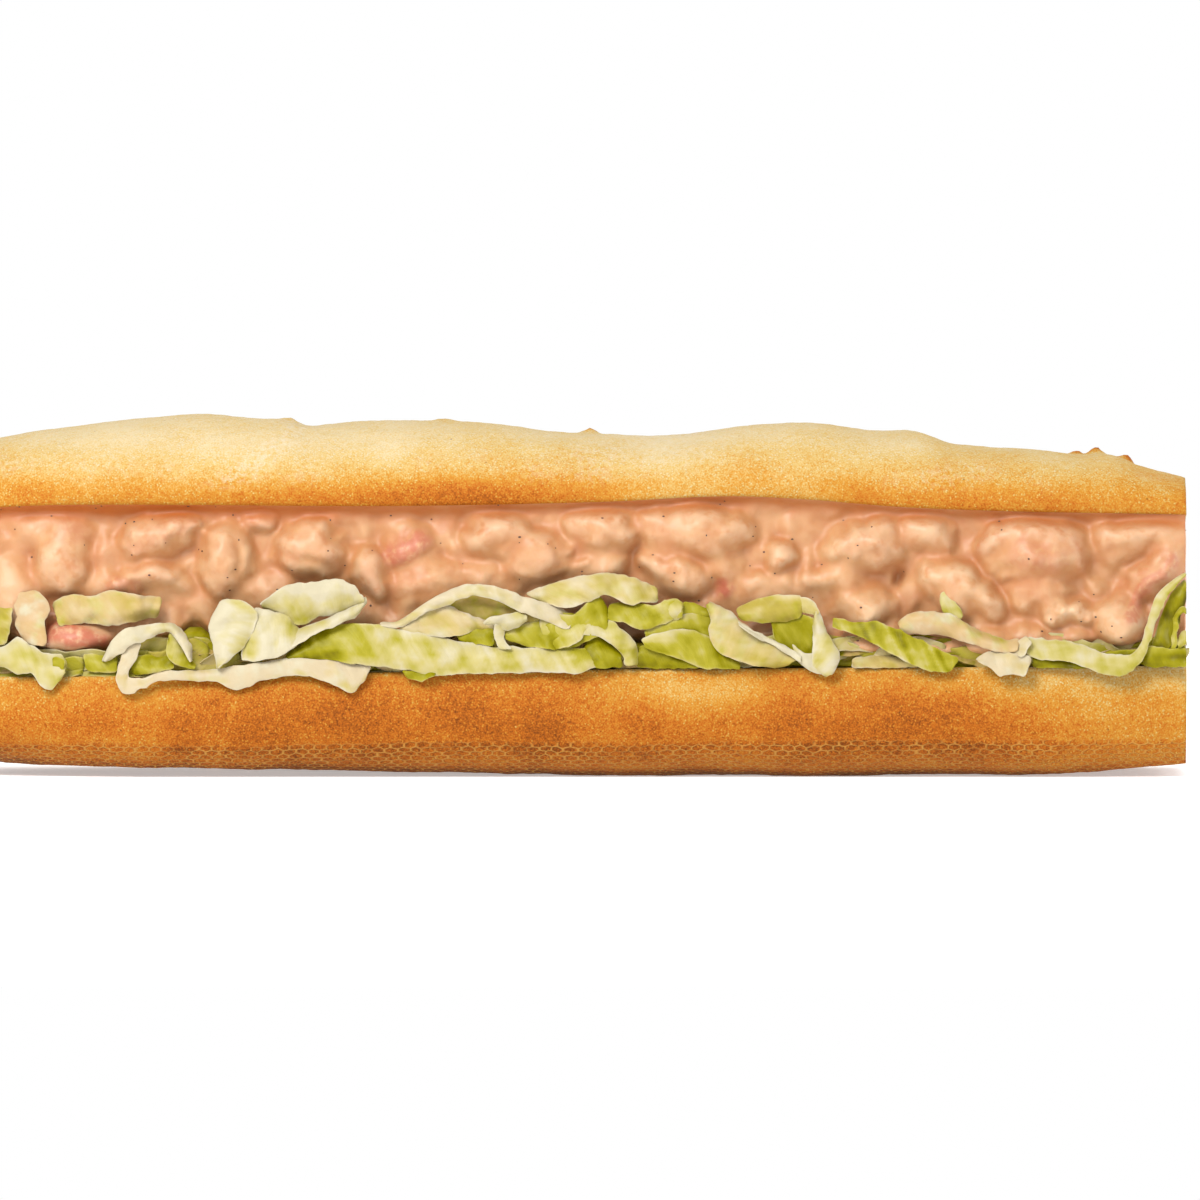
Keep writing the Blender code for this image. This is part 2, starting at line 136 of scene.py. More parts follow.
class Noise:
    """Repeatable noise in space, read for many points at once."""

    def __init__(self, seed: int) -> None:
        """Draws the tables that the noise is made from.

        Args:
            seed: a different seed gives different noise.
        """
        draw = np.random.default_rng(seed)
        self._order = draw.permutation(512)
        turns = draw.normal(size=(512, 3))
        self._turns = turns / np.linalg.norm(turns, axis=1, keepdims=True)
        self._spots = draw.uniform(0.1, 0.9, (512, 3))

    def _corner(self, cell: np.ndarray) -> np.ndarray:
        """The table row that belongs to each whole-number cell.

        Args:
            cell: cells as rows of x, y, z.

        Returns:
            A row number for each cell.
        """
        key = cell[..., 0]
        for axis in (1, 2):
            key = self._order[key % 512] + cell[..., axis]
        return self._order[key % 512]

    def soft(self, points: np.ndarray, size: float, octaves: int = 1) -> np.ndarray:
        """Smooth noise.

        Args:
            points: rows of x, y, z.
            size: the width of its largest lumps, in the points' unit.
            octaves: how many finer layers are added, each half as strong.

        Returns:
            A value from about -1 to 1 for each point.
        """
        total = np.zeros(points.shape[:-1])
        for octave in range(octaves):
            total += self._layer(points / size * 2.0**octave + 17.3 * octave) / 2.0**octave
        return total

    def _layer(self, places: np.ndarray) -> np.ndarray:
        """One layer of gradient noise on a whole-number grid.

        Args:
            places: rows of x, y, z in cells.

        Returns:
            A value from about -1 to 1 for each place.
        """
        low = np.floor(places).astype(int)
        inside = places - low
        blend = inside**3 * (inside * (inside * 6 - 15) + 10)
        total = np.zeros(places.shape[:-1])
        for corner in np.ndindex(2, 2, 2):
            step = np.array(corner)
            share = np.prod(np.where(step == 1, blend, 1 - blend), axis=-1)
            total += share * np.sum(self._turns[self._corner(low + step)] * (inside - step), axis=-1)
        return total * 1.6

    def spots(self, points: np.ndarray, size: float) -> np.ndarray:
        """Distance to the nearest of many scattered spots.

        Args:
            points: rows of x, y, z.
            size: the usual distance between two spots, in the points' unit.

        Returns:
            The distance for each point, as a share of size.
        """
        places = points / size
        low = np.floor(places).astype(int)
        nearest = np.full(places.shape[:-1], 9.0)
        for corner in np.ndindex(3, 3, 3):
            cell = low + np.array(corner) - 1
            apart = np.linalg.norm(cell + self._spots[self._corner(cell)] - places, axis=-1)
            nearest = np.minimum(nearest, apart)
        return nearest


def place(along: np.ndarray, out: np.ndarray, up: np.ndarray) -> np.ndarray:
    """Stacks loaf measures into points in the frame's axes, still in millimetres."""
    along, out, up = np.broadcast_arrays(along, out, up)
    return np.stack([along - MIDDLE, MIDDLE_OUT - out, up], axis=-1).astype(float)


def heel_share(along: np.ndarray, tip: float) -> np.ndarray:
    """How full the cross-section is: 0 at the tip, rounding up to 1 over the heel's length."""
    back = np.clip((tip + HEEL_LENGTH - along) / HEEL_LENGTH, 0.0, 1.0)
    return (1.0 - back**HEEL_ROUNDNESS) ** (1.0 / HEEL_ROUNDNESS)


def unit(vectors: np.ndarray) -> np.ndarray:
    """Scales vectors to length 1, and leaves those that are next to nothing short."""
    return vectors / np.maximum(np.linalg.norm(vectors, axis=-1, keepdims=True), 1e-6)


def run_length(line: np.ndarray) -> np.ndarray:
    """The distance from a line's start to each of its points."""
    return np.concatenate([[0], np.cumsum(np.linalg.norm(np.diff(line, axis=0), axis=1))])


# Meshes ---------------------------------------------------------------------------------


@dataclass
class Surface:
    """A mesh in the making: points in millimetres, faces, and values carried by its points."""

    points: np.ndarray
    faces: list
    values: dict[str, np.ndarray] = field(default_factory=dict)
    uv: np.ndarray | None = None

    @classmethod
    def joined(cls, surfaces: list["Surface"]) -> "Surface":
        """Sets many surfaces side by side as one.

        Args:
            surfaces: surfaces with the same named values.

        Returns:
            The one surface.
        """
        starts = np.cumsum([0, *(len(surface.points) for surface in surfaces)])
        faces = [tuple(i + start for i in face) for surface, start in zip(surfaces, starts) for face in surface.faces]
        values = {key: np.concatenate([surface.values[key] for surface in surfaces]) for key in surfaces[0].values}
        uv = None if surfaces[0].uv is None else np.concatenate([surface.uv for surface in surfaces])
        return cls(np.concatenate([surface.points for surface in surfaces]), faces, values, uv)

    def to_object(self, name: str, material: bpy.types.Material | None = None) -> bpy.types.Object:
        """Makes the Blender object.

        Args:
            name: the object's name.
            material: its material.

        Returns:
            The object, smooth shaded and at the origin.
        """
        mesh = bpy.data.meshes.new(name)
        mesh.from_pydata((self.points * MM).tolist(), [], self.faces)
        for key, values in self.values.items():
            mesh.attributes.new(key, "FLOAT", "POINT").data.foreach_set("value", values.astype(np.float32))
        if self.uv is not None:
            corners = np.empty(len(mesh.loops), np.int32)
            mesh.loops.foreach_get("vertex_index", corners)
            layer = mesh.uv_layers.new(name="UVMap")
            layer.data.foreach_set("uv", self.uv[corners].astype(np.float32).ravel())
        mesh.update()
        made = add_object(name, mesh)
        face_outwards(mesh)
        mesh.shade_smooth()
        if material is not None:
            mesh.materials.append(material)
        return made


def add_object(name: str, data: bpy.types.ID) -> bpy.types.Object:
    """Makes an object at the origin and links it to the scene.

    Args:
        name: the object's name.
        data: its mesh, lamp or camera.

    Returns:
        The object.
    """
    made = bpy.data.objects.new(name, data)
    bpy.context.scene.collection.objects.link(made)
    return made


def face_outwards(mesh: bpy.types.Mesh) -> None:
    """Turns the faces of closed bodies outwards.

    Args:
        mesh: the mesh to change.
    """
    shape = bmesh.new()
    shape.from_mesh(mesh)
    bmesh.ops.recalc_face_normals(shape, faces=shape.faces)
    shape.to_mesh(mesh)
    shape.free()


def grid_faces(rows: int, columns: int) -> list[tuple[int, int, int, int]]:
    """Faces of a grid of points numbered row by row, with the last column joined to the first.

    Args:
        rows: number of rows.
        columns: number of points in a row.

    Returns:
        The grid's four-sided faces.
    """
    row, column = np.meshgrid(np.arange(rows - 1), np.arange(columns), indexing="ij")
    a, b = row * columns + column, row * columns + (column + 1) % columns
    quads = np.stack([a, b, b + columns, a + columns], axis=-1).reshape(-1, 4)
    return [tuple(quad) for quad in quads.tolist()]


def shrinking(ring: np.ndarray, count: int) -> np.ndarray:
    """Rings inside an end ring that shrink evenly towards its middle, to close it with."""
    centre = ring.mean(0)
    return centre + (ring - centre) * np.linspace(1, 0, count + 2)[1:-1, None, None]


def tube(rings: np.ndarray) -> Surface:
    """A closed body through rings of points, each end drawn to a middle point.

    Args:
        rings: points by ring and place in the ring.

    Returns:
        The body's surface.
    """
    count, around = rings.shape[:2]
    points = np.concatenate([rings.reshape(-1, 3), rings[0].mean(0)[None], rings[-1].mean(0)[None]])
    faces = grid_faces(count, around)
    first, last = count * around, count * around + 1
    for i in range(around):
        j = (i + 1) % around
        faces.append((j, i, first))
        faces.append(((count - 1) * around + i, (count - 1) * around + j, last))
    return Surface(points, faces)


def settle_modifiers(made: bpy.types.Object) -> None:
    """Turns an object's modifiers into its mesh.

    Args:
        made: the object to change.
    """
    graph = bpy.context.evaluated_depsgraph_get()
    mesh = bpy.data.meshes.new_from_object(made.evaluated_get(graph))
    made.modifiers.clear()
    old, made.data = made.data, mesh
    bpy.data.meshes.remove(old)


def dress(made: bpy.types.Object, node: Node, replaces: bool = False) -> bpy.types.Object:
    """Fixes a finished piece to the frame.

    Args:
        made: the piece.
        node: the CAD node it belongs to.
        replaces: whether it stands for that node.

    Returns:
        The same piece.
    """
    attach(made, BODY)
    if replaces:
        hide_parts(node.value)
    log.info("%s: %d faces", made.name, len(made.data.polygons))
    return made


# Materials ------------------------------------------------------------------------------


def srgb(red: int, green: int, blue: int) -> tuple[float, float, float, float]:
    """A colour as a screen shows it.

    Args:
        red: red from 0 to 255.
        green: green from 0 to 255.
        blue: blue from 0 to 255.

    Returns:
        The linear colour that looks so in this studio's light.
    """
    shares = [c / 255 for c in (red, green, blue)]
    linear = [c / 12.92 if c <= 0.04045 else ((c + 0.055) / 1.055) ** 2.4 for c in shares]
    return (*[c / STUDIO_LIGHT for c in linear], 1.0)


class Signal:
    """One output of a material's node tree. Arithmetic on it adds Math nodes."""

    def __init__(self, graph: "Graph", socket: bpy.types.NodeSocket) -> None:
        """Wraps an output socket of a material's graph."""
        self.graph = graph
        self.socket = socket

    def __add__(self, other: "Signal | float") -> "Signal":
        """The sum."""
        return self.graph.math("ADD", self, other)

    def __radd__(self, other: float) -> "Signal":
        """The sum with a number that stands first."""
        return self.graph.math("ADD", other, self)

    def __sub__(self, other: "Signal | float") -> "Signal":
        """The difference."""
        return self.graph.math("SUBTRACT", self, other)

    def __rsub__(self, other: float) -> "Signal":
        """The difference from a number that stands first."""
        return self.graph.math("SUBTRACT", other, self)

    def __mul__(self, other: "Signal | float") -> "Signal":
        """The product."""
        return self.graph.math("MULTIPLY", self, other)

    def __rmul__(self, other: float) -> "Signal":
        """The product with a number that stands first."""
        return self.graph.math("MULTIPLY", other, self)

    def eased(self, low: float, high: float) -> "Signal":
        """Eases from 0 at low to 1 at high."""
        settings = {"interpolation_type": "SMOOTHSTEP"}
        return self.graph.node("ShaderNodeMapRange", settings, Value=self, From_Min=low, From_Max=high)["Result"]


class Outputs:
    """The outputs of one node, by name."""

    def __init__(self, graph: "Graph", node: bpy.types.Node) -> None:
        """Wraps a node of a material's graph."""
        self._graph = graph
        self._node = node

    def __getitem__(self, name: str | int) -> Signal:
        """One output as a signal."""
        return Signal(self._graph, self._node.outputs[name])


class Graph:
    """Builds one material's node tree."""

    def __init__(self, name: str) -> None:
        """Starts an empty material.

        Args:
            name: the material's name.
        """
        self.material = bpy.data.materials.new(name)
        self.material.use_nodes = True
        self.tree = self.material.node_tree
        self.tree.nodes.clear()
        self.object_place = self.node("ShaderNodeTexCoord")["Object"]
        self.uv = self.node("ShaderNodeTexCoord")["UV"]

    def node(self, kind: str, settings: dict[str, object] | None = None, **inputs: object) -> Outputs:
        """Adds any node.

        Args:
            kind: the node's type.
            settings: its own settings by name.
            inputs: its inputs by name, with _ for a space and _N for the Nth input.

        Returns:
            The node's outputs.
        """
        made = self.tree.nodes.new(kind)
        for key, value in (settings or {}).items():
            setattr(made, key, value)
        for key, value in inputs.items():
            socket = made.inputs[int(key[1:])] if key[0] == "_" else made.inputs[key.replace("_", " ")]
            if isinstance(value, Signal):
                self.tree.links.new(value.socket, socket)
            else:
                socket.default_value = value
        return Outputs(self, made)

    def math(self, operation: str, first: Signal | float, second: Signal | float = 0.0) -> Signal:
        """Adds a Math node on one or two inputs."""
        return self.node("ShaderNodeMath", {"operation": operation}, _0=first, _1=second)["Value"]

    def vectors(self, operation: str, *inputs: object) -> Signal:
        """Adds a Vector Math node on its inputs in order."""
        numbered = {f"_{i}": value for i, value in enumerate(inputs)}
        return self.node("ShaderNodeVectorMath", {"operation": operation}, **numbered)["Vector"]

    def mix(self, share: Signal | float, first: object, second: object) -> Signal:
        """Mixes two colours, with the share of the second."""
        return self.node("ShaderNodeMix", {"data_type": "RGBA"}, _0=share, _6=first, _7=second)[2]

    def attribute(self, name: str) -> Signal:
        """Reads a value that the mesh's points carry."""
        return self.node("ShaderNodeAttribute", {"attribute_name": name})["Fac"]

    def noise(self, size: float, detail: float = 2.0) -> Signal:
        """Smooth noise from 0 to 1 with lumps of a size in millimetres."""
        return self.node("ShaderNodeTexNoise", Vector=self.object_place, Scale=1 / (size * MM), Detail=detail)["Fac"]

    def streaks(self, vector: Signal, by: tuple[float, float, float], detail: float) -> Signal:
        """Smooth noise from 0 to 1 on a vector that is stretched axis by axis."""
        stretched = self.vectors("MULTIPLY", vector, by)
        return self.node("ShaderNodeTexNoise", Vector=stretched, Scale=1.0, Detail=detail)["Fac"]

    def dots(self, size: float, radius: float) -> Signal:
        """Round dots, 1 on a dot, a size in millimetres apart; the radius is a share of that."""
        found = self.node("ShaderNodeTexVoronoi", Vector=self.object_place, Scale=1 / (size * MM))
        return found["Distance"].eased(radius, radius * 0.45)

    def ramp(self, share: Signal, stops: tuple[tuple[float, tuple[float, ...]], ...]) -> Signal:
        """A run of colours.

        Args:
            share: where in the run.
            stops: (share, colour) pairs, rising.

        Returns:
            The colour.
        """
        made = self.tree.nodes.new("ShaderNodeValToRGB")
        while len(made.color_ramp.elements) < len(stops):
            made.color_ramp.elements.new(0.5)
        for element, (at, colour) in zip(made.color_ramp.elements, stops):
            element.position, element.color = at, colour
        self.tree.links.new(share.socket, made.inputs[0])
        return Signal(self, made.outputs[0])

    def relief(self, height: Signal, depth: float, normal: Signal | None = None) -> Signal:
        """Fine relief as a bent normal.

        Args:
            height: the relief's height from 0 to 1.
            depth: the height at 1, in millimetres.
            normal: a normal that is bent already.

        Returns:
            The bent normal.
        """
        inputs = {"Height": height, "Distance": depth * MM, "Strength": 1.0}
        if normal is not None:
            inputs["Normal"] = normal
        return self.node("ShaderNodeBump", **inputs)["Normal"]

    def principled(self, **inputs: object) -> Signal:
        """The main shader, with its inputs by name."""
        return self.node("ShaderNodeBsdfPrincipled", **inputs)["BSDF"]

    def surface(self, shader: Signal) -> bpy.types.Material:
        """Connects the shader that shows and returns the finished material."""
        self.node("ShaderNodeOutputMaterial", Surface=shader)
        return self.material


@dataclass(frozen=True)
class Bread:
    """Baked crust outside and pale crumb inside, read from values that the mesh carries."""

    name: str
    straw: tuple[float, ...] = srgb(244, 222, 176)
    wheat: tuple[float, ...] = srgb(234, 198, 120)
    golden: tuple[float, ...] = srgb(224, 158, 56)
    brown: tuple[float, ...] = srgb(206, 112, 26)
    dark: tuple[float, ...] = srgb(136, 70, 16)
    crumb: tuple[float, ...] = srgb(254, 236, 196)
    pore: tuple[float, ...] = srgb(242, 206, 142)

    def build(self) -> bpy.types.Material:
        """Makes the material.

        Returns:
            The finished material.
        """
        g = Graph(self.name)
        blisters = g.dots(0.66, 0.42)
        grain = blisters * (g.noise(2.2, 2.0).eased(0.3, 0.6) * 0.7 + 0.3)
        mottle = (g.noise(0.34, 1.0) - 0.5) * 0.62 + (g.noise(1.2, 2.0) - 0.5) * 0.3
        patches = (g.noise(11.0, 3.0) - 0.5) * 0.3
        sparks = g.dots(1.25, 0.19) * g.noise(3.0, 2.0).eased(0.35, 0.6)
        bake = g.attribute("bake") + patches + mottle - grain * 0.2 - sparks * 0.22
        flour = g.attribute("flour") * g.noise(1.1, 3.0).eased(0.42, 0.6)
        stops = ((0.0, self.straw), (0.28, self.wheat), (0.52, self.golden), (0.76, self.brown), (1.0, self.dark))
        crust = g.ramp(bake + g.attribute("print") * 0.15, stops)
        wires = self._tray_wires(g)
        crust = g.mix(wires * (g.noise(5.0, 2.0).eased(0.3, 0.6) * 0.5 + 0.35), crust, srgb(228, 166, 78))
        crust = g.mix(flour * 0.45, crust, srgb(250, 234, 206))
        specks = g.dots(5.2, 0.055)
        crust = g.mix(specks * 0.55, crust, srgb(110, 66, 30))
        # Painted shade in the crumb's holes: the pore colour on scattered dots and in the pits.
        holes = g.dots(1.5, 0.36)
        inside = g.mix(holes * 0.5 + g.attribute("pore") * 0.5, self.crumb, self.pore)
        edge = g.attribute("skin_depth").eased(2.2, 0.2)
        inside = g.mix(edge, inside, self.golden)
        colour = g.mix(g.attribute("crumb"), crust, inside)
        height = grain * 0.5 + g.noise(0.5, 2.0) * 0.5
        normal = g.relief(height, 0.13)
        normal = g.relief(wires, 0.16, normal)
        shader = g.principled(
            Base_Color=colour,
            Roughness=0.66 + g.attribute("crumb") * 0.25,
            Normal=normal,
            Specular_IOR_Level=0.08,
            Subsurface_Weight=0.05,
            Subsurface_Radius=(0.8, 0.4, 0.2),
            Subsurface_Scale=MM,
        )
        return g.surface(shader)

    def _tray_wires(self, g: Graph) -> Signal:
        """The print of the tray's mesh: the lines of a staggered six-sided lattice.

        Args:
            g: the graph to add to.

        Returns:
            1 on a line and 0 between lines and above the print.
        """
        root = math.sqrt(3)
        waver = g.node("ShaderNodeTexNoise", Vector=g.object_place, Scale=1 / (3.2 * MM), Detail=1.0)["Color"]
        bent = g.vectors("MULTIPLY_ADD", waver, (1.6, 1.3, 0.0), g.uv)
        spot = g.vectors("MULTIPLY", bent, (1 / TRAY_PITCH, TRAY_SQUASH / (TRAY_PITCH * root), 1.0))
        nearest = []
        for shift in (0.0, 0.5):
            moved = g.vectors("ADD", spot, (shift, shift, 0.0))
            centred = g.vectors("SUBTRACT", g.vectors("FRACTION", moved), (0.5, 0.5, 0.0))
            parts = g.node("ShaderNodeSeparateXYZ", Vector=g.vectors("MULTIPLY", centred, (1.0, root, 0.0)))
            x, y = g.math("ABSOLUTE", parts["X"]), g.math("ABSOLUTE", parts["Y"])
            nearest.append(g.math("MAXIMUM", x, x * 0.5 + y * (root / 2)))
        edge = g.math("MINIMUM", nearest[0], nearest[1])
        return edge.eased(0.35, 0.47) * g.attribute("print")


@dataclass(frozen=True)
class Sauce:
    """Pink sauce over prawns: creamy, a little glossy, redder where a prawn shows through, with painted shade in its
    crevices and under the top half, and a painted highlight on the lumps' tops.
    """

    name: str
    light: tuple[float, ...] = srgb(238, 179, 124)
    deep: tuple[float, ...] = srgb(227, 159, 102)
    cream: tuple[float, ...] = srgb(255, 216, 172)
    blush: tuple[float, ...] = srgb(216, 112, 82)
    hollow: tuple[float, ...] = srgb(222, 138, 88)
    shade: tuple[float, ...] = srgb(212, 106, 20)

    def build(self) -> bpy.types.Material:
        """Makes the material.

        Returns:
            The finished material.
        """
        g = Graph(self.name)
        colour = g.mix(g.noise(5.0, 2.0).eased(0.35, 0.65), self.light, self.deep)
        # Painted highlight on the lumps' tops, in the cream colour.
        colour = g.mix(g.attribute("ridge") * g.noise(2.4, 2.0).eased(0.25, 0.55) * 0.8, colour, self.cream)
        colour = g.mix(g.attribute("blush") * g.noise(1.6, 3.0).eased(0.2, 0.56) * 0.85, colour, self.blush)
        # Painted shade in the crevices between the lumps.
        colour = g.mix(g.attribute("hollow") * 0.5, colour, self.hollow)
        colour = g.mix(g.attribute("shade") * 0.85, colour, self.shade)
        streaks = g.noise(1.3, 2.0)
        shader = g.principled(
            Base_Color=colour,
            Roughness=0.42 + streaks * 0.14,
            Normal=g.relief(streaks, 0.09),
            Specular_IOR_Level=0.32,
            Subsurface_Weight=0.4,
            Subsurface_Radius=(1.0, 0.5, 0.3),
            Subsurface_Scale=1.2 * MM,
            Coat_Weight=0.05,
            Coat_Roughness=0.3,
        )
        return g.surface(shader)


@dataclass(frozen=True)
class Leaf:
    """Crisp pale lettuce: white rib, cream and yellow-green blade, thin enough to glow."""

    name: str
    white: tuple[float, ...] = srgb(250, 238, 202)
    cream: tuple[float, ...] = srgb(236, 220, 140)
    yellow: tuple[float, ...] = srgb(208, 196, 60)
    green: tuple[float, ...] = srgb(176, 166, 6)
    dark: tuple[float, ...] = srgb(110, 98, 0)
    sauce: tuple[float, ...] = srgb(244, 198, 138)

    def build(self) -> bpy.types.Material:
        """Makes the material.

        Returns:
            The finished material.
        """
        g = Graph(self.name)
        turned = g.node("ShaderNodeMapping", Vector=g.uv, Rotation=(0.0, 0.0, 0.6))["Vector"]
        veins = g.streaks(turned, (0.9, 0.16, 1.0), 3.0)
        ribs = g.streaks(turned, (0.3, 0.04, 1.0), 1.0)
        cells = g.noise(0.5, 2.0)
        mottle = (veins - 0.5) * 0.2 + (ribs - 0.5) * 0.5 + (g.noise(4.0, 2.0) - 0.5) * 0.2
        # Paler rims: a painted highlight along each strip's thin edge.
        tint = g.attribute("tint") + mottle - g.attribute("rim") * 0.2
        stops = ((0.05, self.white), (0.3, self.cream), (0.5, self.yellow), (0.7, self.green), (1.0, self.dark))
        colour = g.ramp(tint, stops)
        colour = g.mix(g.attribute("sauced") * g.noise(3.0, 2.0).eased(0.25, 0.6) * 0.85, colour, self.sauce)
        normal = g.relief(ribs * 0.7 + veins * 0.4 + cells * 0.1, 0.46)
        shader = g.principled(
            Base_Color=colour,
            Roughness=0.4,
            Normal=normal,
            Specular_IOR_Level=0.08,
            Coat_Weight=0.02,
            Coat_Roughness=0.2,
        )
        glow = g.node("ShaderNodeBsdfTranslucent", Color=colour, Normal=normal)
        mixed = g.node("ShaderNodeMixShader", _0=0.2, _1=shader, _2=glow["BSDF"])
        return g.surface(mixed["Shader"])


@dataclass(frozen=True)
class Plain:
    """An even finish with a little mottling, for small pieces and the floor."""

    name: str
    colour: tuple[float, ...]
    mottle: tuple[float, ...]
    size: float
    roughness: float
    glow: float = 0.0

    def build(self) -> bpy.types.Material:
        """Makes the material.

        Returns:
            The finished material.
        """
        g = Graph(self.name)
        colour = g.mix(g.noise(self.size, 2.0).eased(0.4, 0.65), self.colour, self.mottle)
        white = (1.0, 1.0, 1.0, 1.0)
        shader = g.principled(
            Base_Color=colour, Roughness=self.roughness, Emission_Color=white, Emission_Strength=self.glow
        )
        return g.surface(shader)


# The loaf -------------------------------------------------------------------------------

TRAY_PITCH = 2.56
TRAY_SQUASH = 1.8


class Half(Enum):
    """Which half of the loaf."""

    BASE = "base"
    TOP = "top"


@dataclass(frozen=True)
class Nub:
    """A small browned lump that stands up from the crust."""

    along: float
    across: float
    width: float
    height: float
    browned: float = 0.5


@dataclass
class Loaf:
    """The measures of the split loaf that both halves and the filling share."""

    half_width: float = 32.0
    rim_inset: float = 0.965
    widest_up: float = 15.0
    shoulder: float = 2.25
    corner: float = 2.9
    tip_droop: float = 11.0
    crown_ease: float = 0.9
    narrow_by: float = 0.09
    narrow_over: float = 45.0
    end_lift: float = 2.4
    heel_lifts_before: float = 135.0
    cut_lifts_after: float = 192.0
    belly_sink: float = 1.2
    floor_ease: float = 0.15
    lip_tuck: float = 0.045
    lip_height: float = 1.6
    base_rim: Outline = Outline(((-28, 20.0), (0, 20.2), (60, 21.0), (130, 21.9), (165, 22.1), (237.4, 22.5)))
    top_rim: Outline = Outline(
        (
            (-28, 57.4), (0, 55.8), (20, 55.2), (40, 55.0), (80, 54.8), (120, 55.6), (150, 56.7), (160, 56.2),
            (180, 54.6), (200, 53.8), (237.4, 53.4),
        )
    )
    crown: Outline = Outline(
        (
            (-28, 70.4), (0, 70.9), (10, 71.2), (20, 71.9), (30, 72.3), (42, 72.9), (50, 72.3), (58, 71.6),
            (61, 70.9), (66, 71.2), (78, 72.1), (90, 71.5), (100, 70.8), (110, 69.5), (122, 68.3),
            (135, 67.5), (142, 68.0), (150, 69.1), (162, 70.1), (173, 69.9), (184, 70.0), (190, 68.2),
            (197, 67.6), (208, 67.3), (217, 66.4), (222, 66.6), (228, 64.4), (237.4, 62.0),
        )
    )

    def width(self, along: np.ndarray) -> np.ndarray:
        """Half the loaf's depth."""
        return self.half_width * heel_share(along, HEEL_TIP) * self.narrowing(along)

    def narrowing(self, along: np.ndarray) -> np.ndarray:
        """How the loaf narrows towards its cut end, as a share of its depth."""
        return 1 - self.narrow_by * np.clip((along - (CUT_END - self.narrow_over)) / self.narrow_over, 0, 1) ** 2

    def keel(self, along: np.ndarray) -> np.ndarray:
        """How far the underside stands off the table.

        Args:
            along: distance along the loaf.

        Returns:
            The gap there.
        """
        heel = np.clip((self.heel_lifts_before - along) / self.heel_lifts_before, 0, None)
        cut = np.clip((along - self.cut_lifts_after) / (CUT_END - self.cut_lifts_after), 0, None)
        return self.end_lift * heel**1.2 + self.end_lift * cut**1.45

    def top_middle(self, along: np.ndarray) -> np.ndarray:
        """Height of the top half's cut face halfway between its rims."""
        droop = self.tip_droop * (1 - heel_share(along, HEEL_TIP)) ** 1.5
        return self.top_rim(along) - self.rim_inset * self.half_width * math.sin(TOP_TILT) - droop

    def ceiling(self, along: np.ndarray, out: np.ndarray) -> np.ndarray:
        """Height of the top half's cut face at one spot."""
        return self.top_middle(along) + out * math.tan(TOP_TILT)

    def base_crust(self, along: np.ndarray, turn: np.ndarray) -> tuple[np.ndarray, np.ndarray]:
        """The base half's crust from its front rim, under the loaf, to its back rim.

        Args:
            along: distance along the loaf.
            turn: 0 at the front rim to 1 at the back rim.

        Returns:
            How far out and up the crust is.
        """
        share = heel_share(along, HEEL_TIP)
        rim = self.base_rim(along)
        widest = rim - (rim - self.widest_up) * share
        above = math.acos(self.rim_inset)
        angle = -above + (math.pi + 2 * above) * turn
        side, drop = np.cos(angle), np.sin(angle)
        rise = np.where(drop < 0, (rim - widest) / math.sin(above), (self.widest_up + self.belly_sink) * share)
        fuller = np.where(drop < 0, 1.0, 2 / self.corner)
        up = widest - rise * np.sign(drop) * np.abs(drop) ** fuller
        floor = self.keel(along)
        soft = 0.5 * (up + floor + np.sqrt((up - floor) ** 2 + self.floor_ease))
        return self.width(along) * np.sign(side) * np.abs(side) ** fuller, soft

    def top_crust(self, along: np.ndarray, turn: np.ndarray) -> tuple[np.ndarray, np.ndarray]:
        """The top half's crust from its front rim, over the crown, to its back rim.

        Args:
            along: distance along the loaf.
            turn: 0 at the front rim to 1 at the back rim.

        Returns:
            How far out and up the crust is.
        """
        width = self.width(along) * self.rim_inset
        lean = width * math.sin(TOP_TILT)
        crown = self.crown(along) - self.crown_ease
        full = np.sqrt((crown - self.top_middle(MIDDLE)) ** 2 - lean**2) / math.cos(TOP_TILT)
        height = full * heel_share(along, HEEL_TIP)
        angle = math.pi * turn
        side, rise = np.cos(angle), np.maximum(np.sin(angle), 0)
        out = width * np.sign(side) * np.abs(side) ** (2 / self.shoulder)
        up = height * rise ** (2 / self.shoulder)
        out = out * (1 - self.lip_tuck * np.exp(-up / self.lip_height))
        cos, sin = math.cos(TOP_TILT), math.sin(TOP_TILT)
        return out * cos - up * sin, self.top_middle(along) + out * sin + up * cos


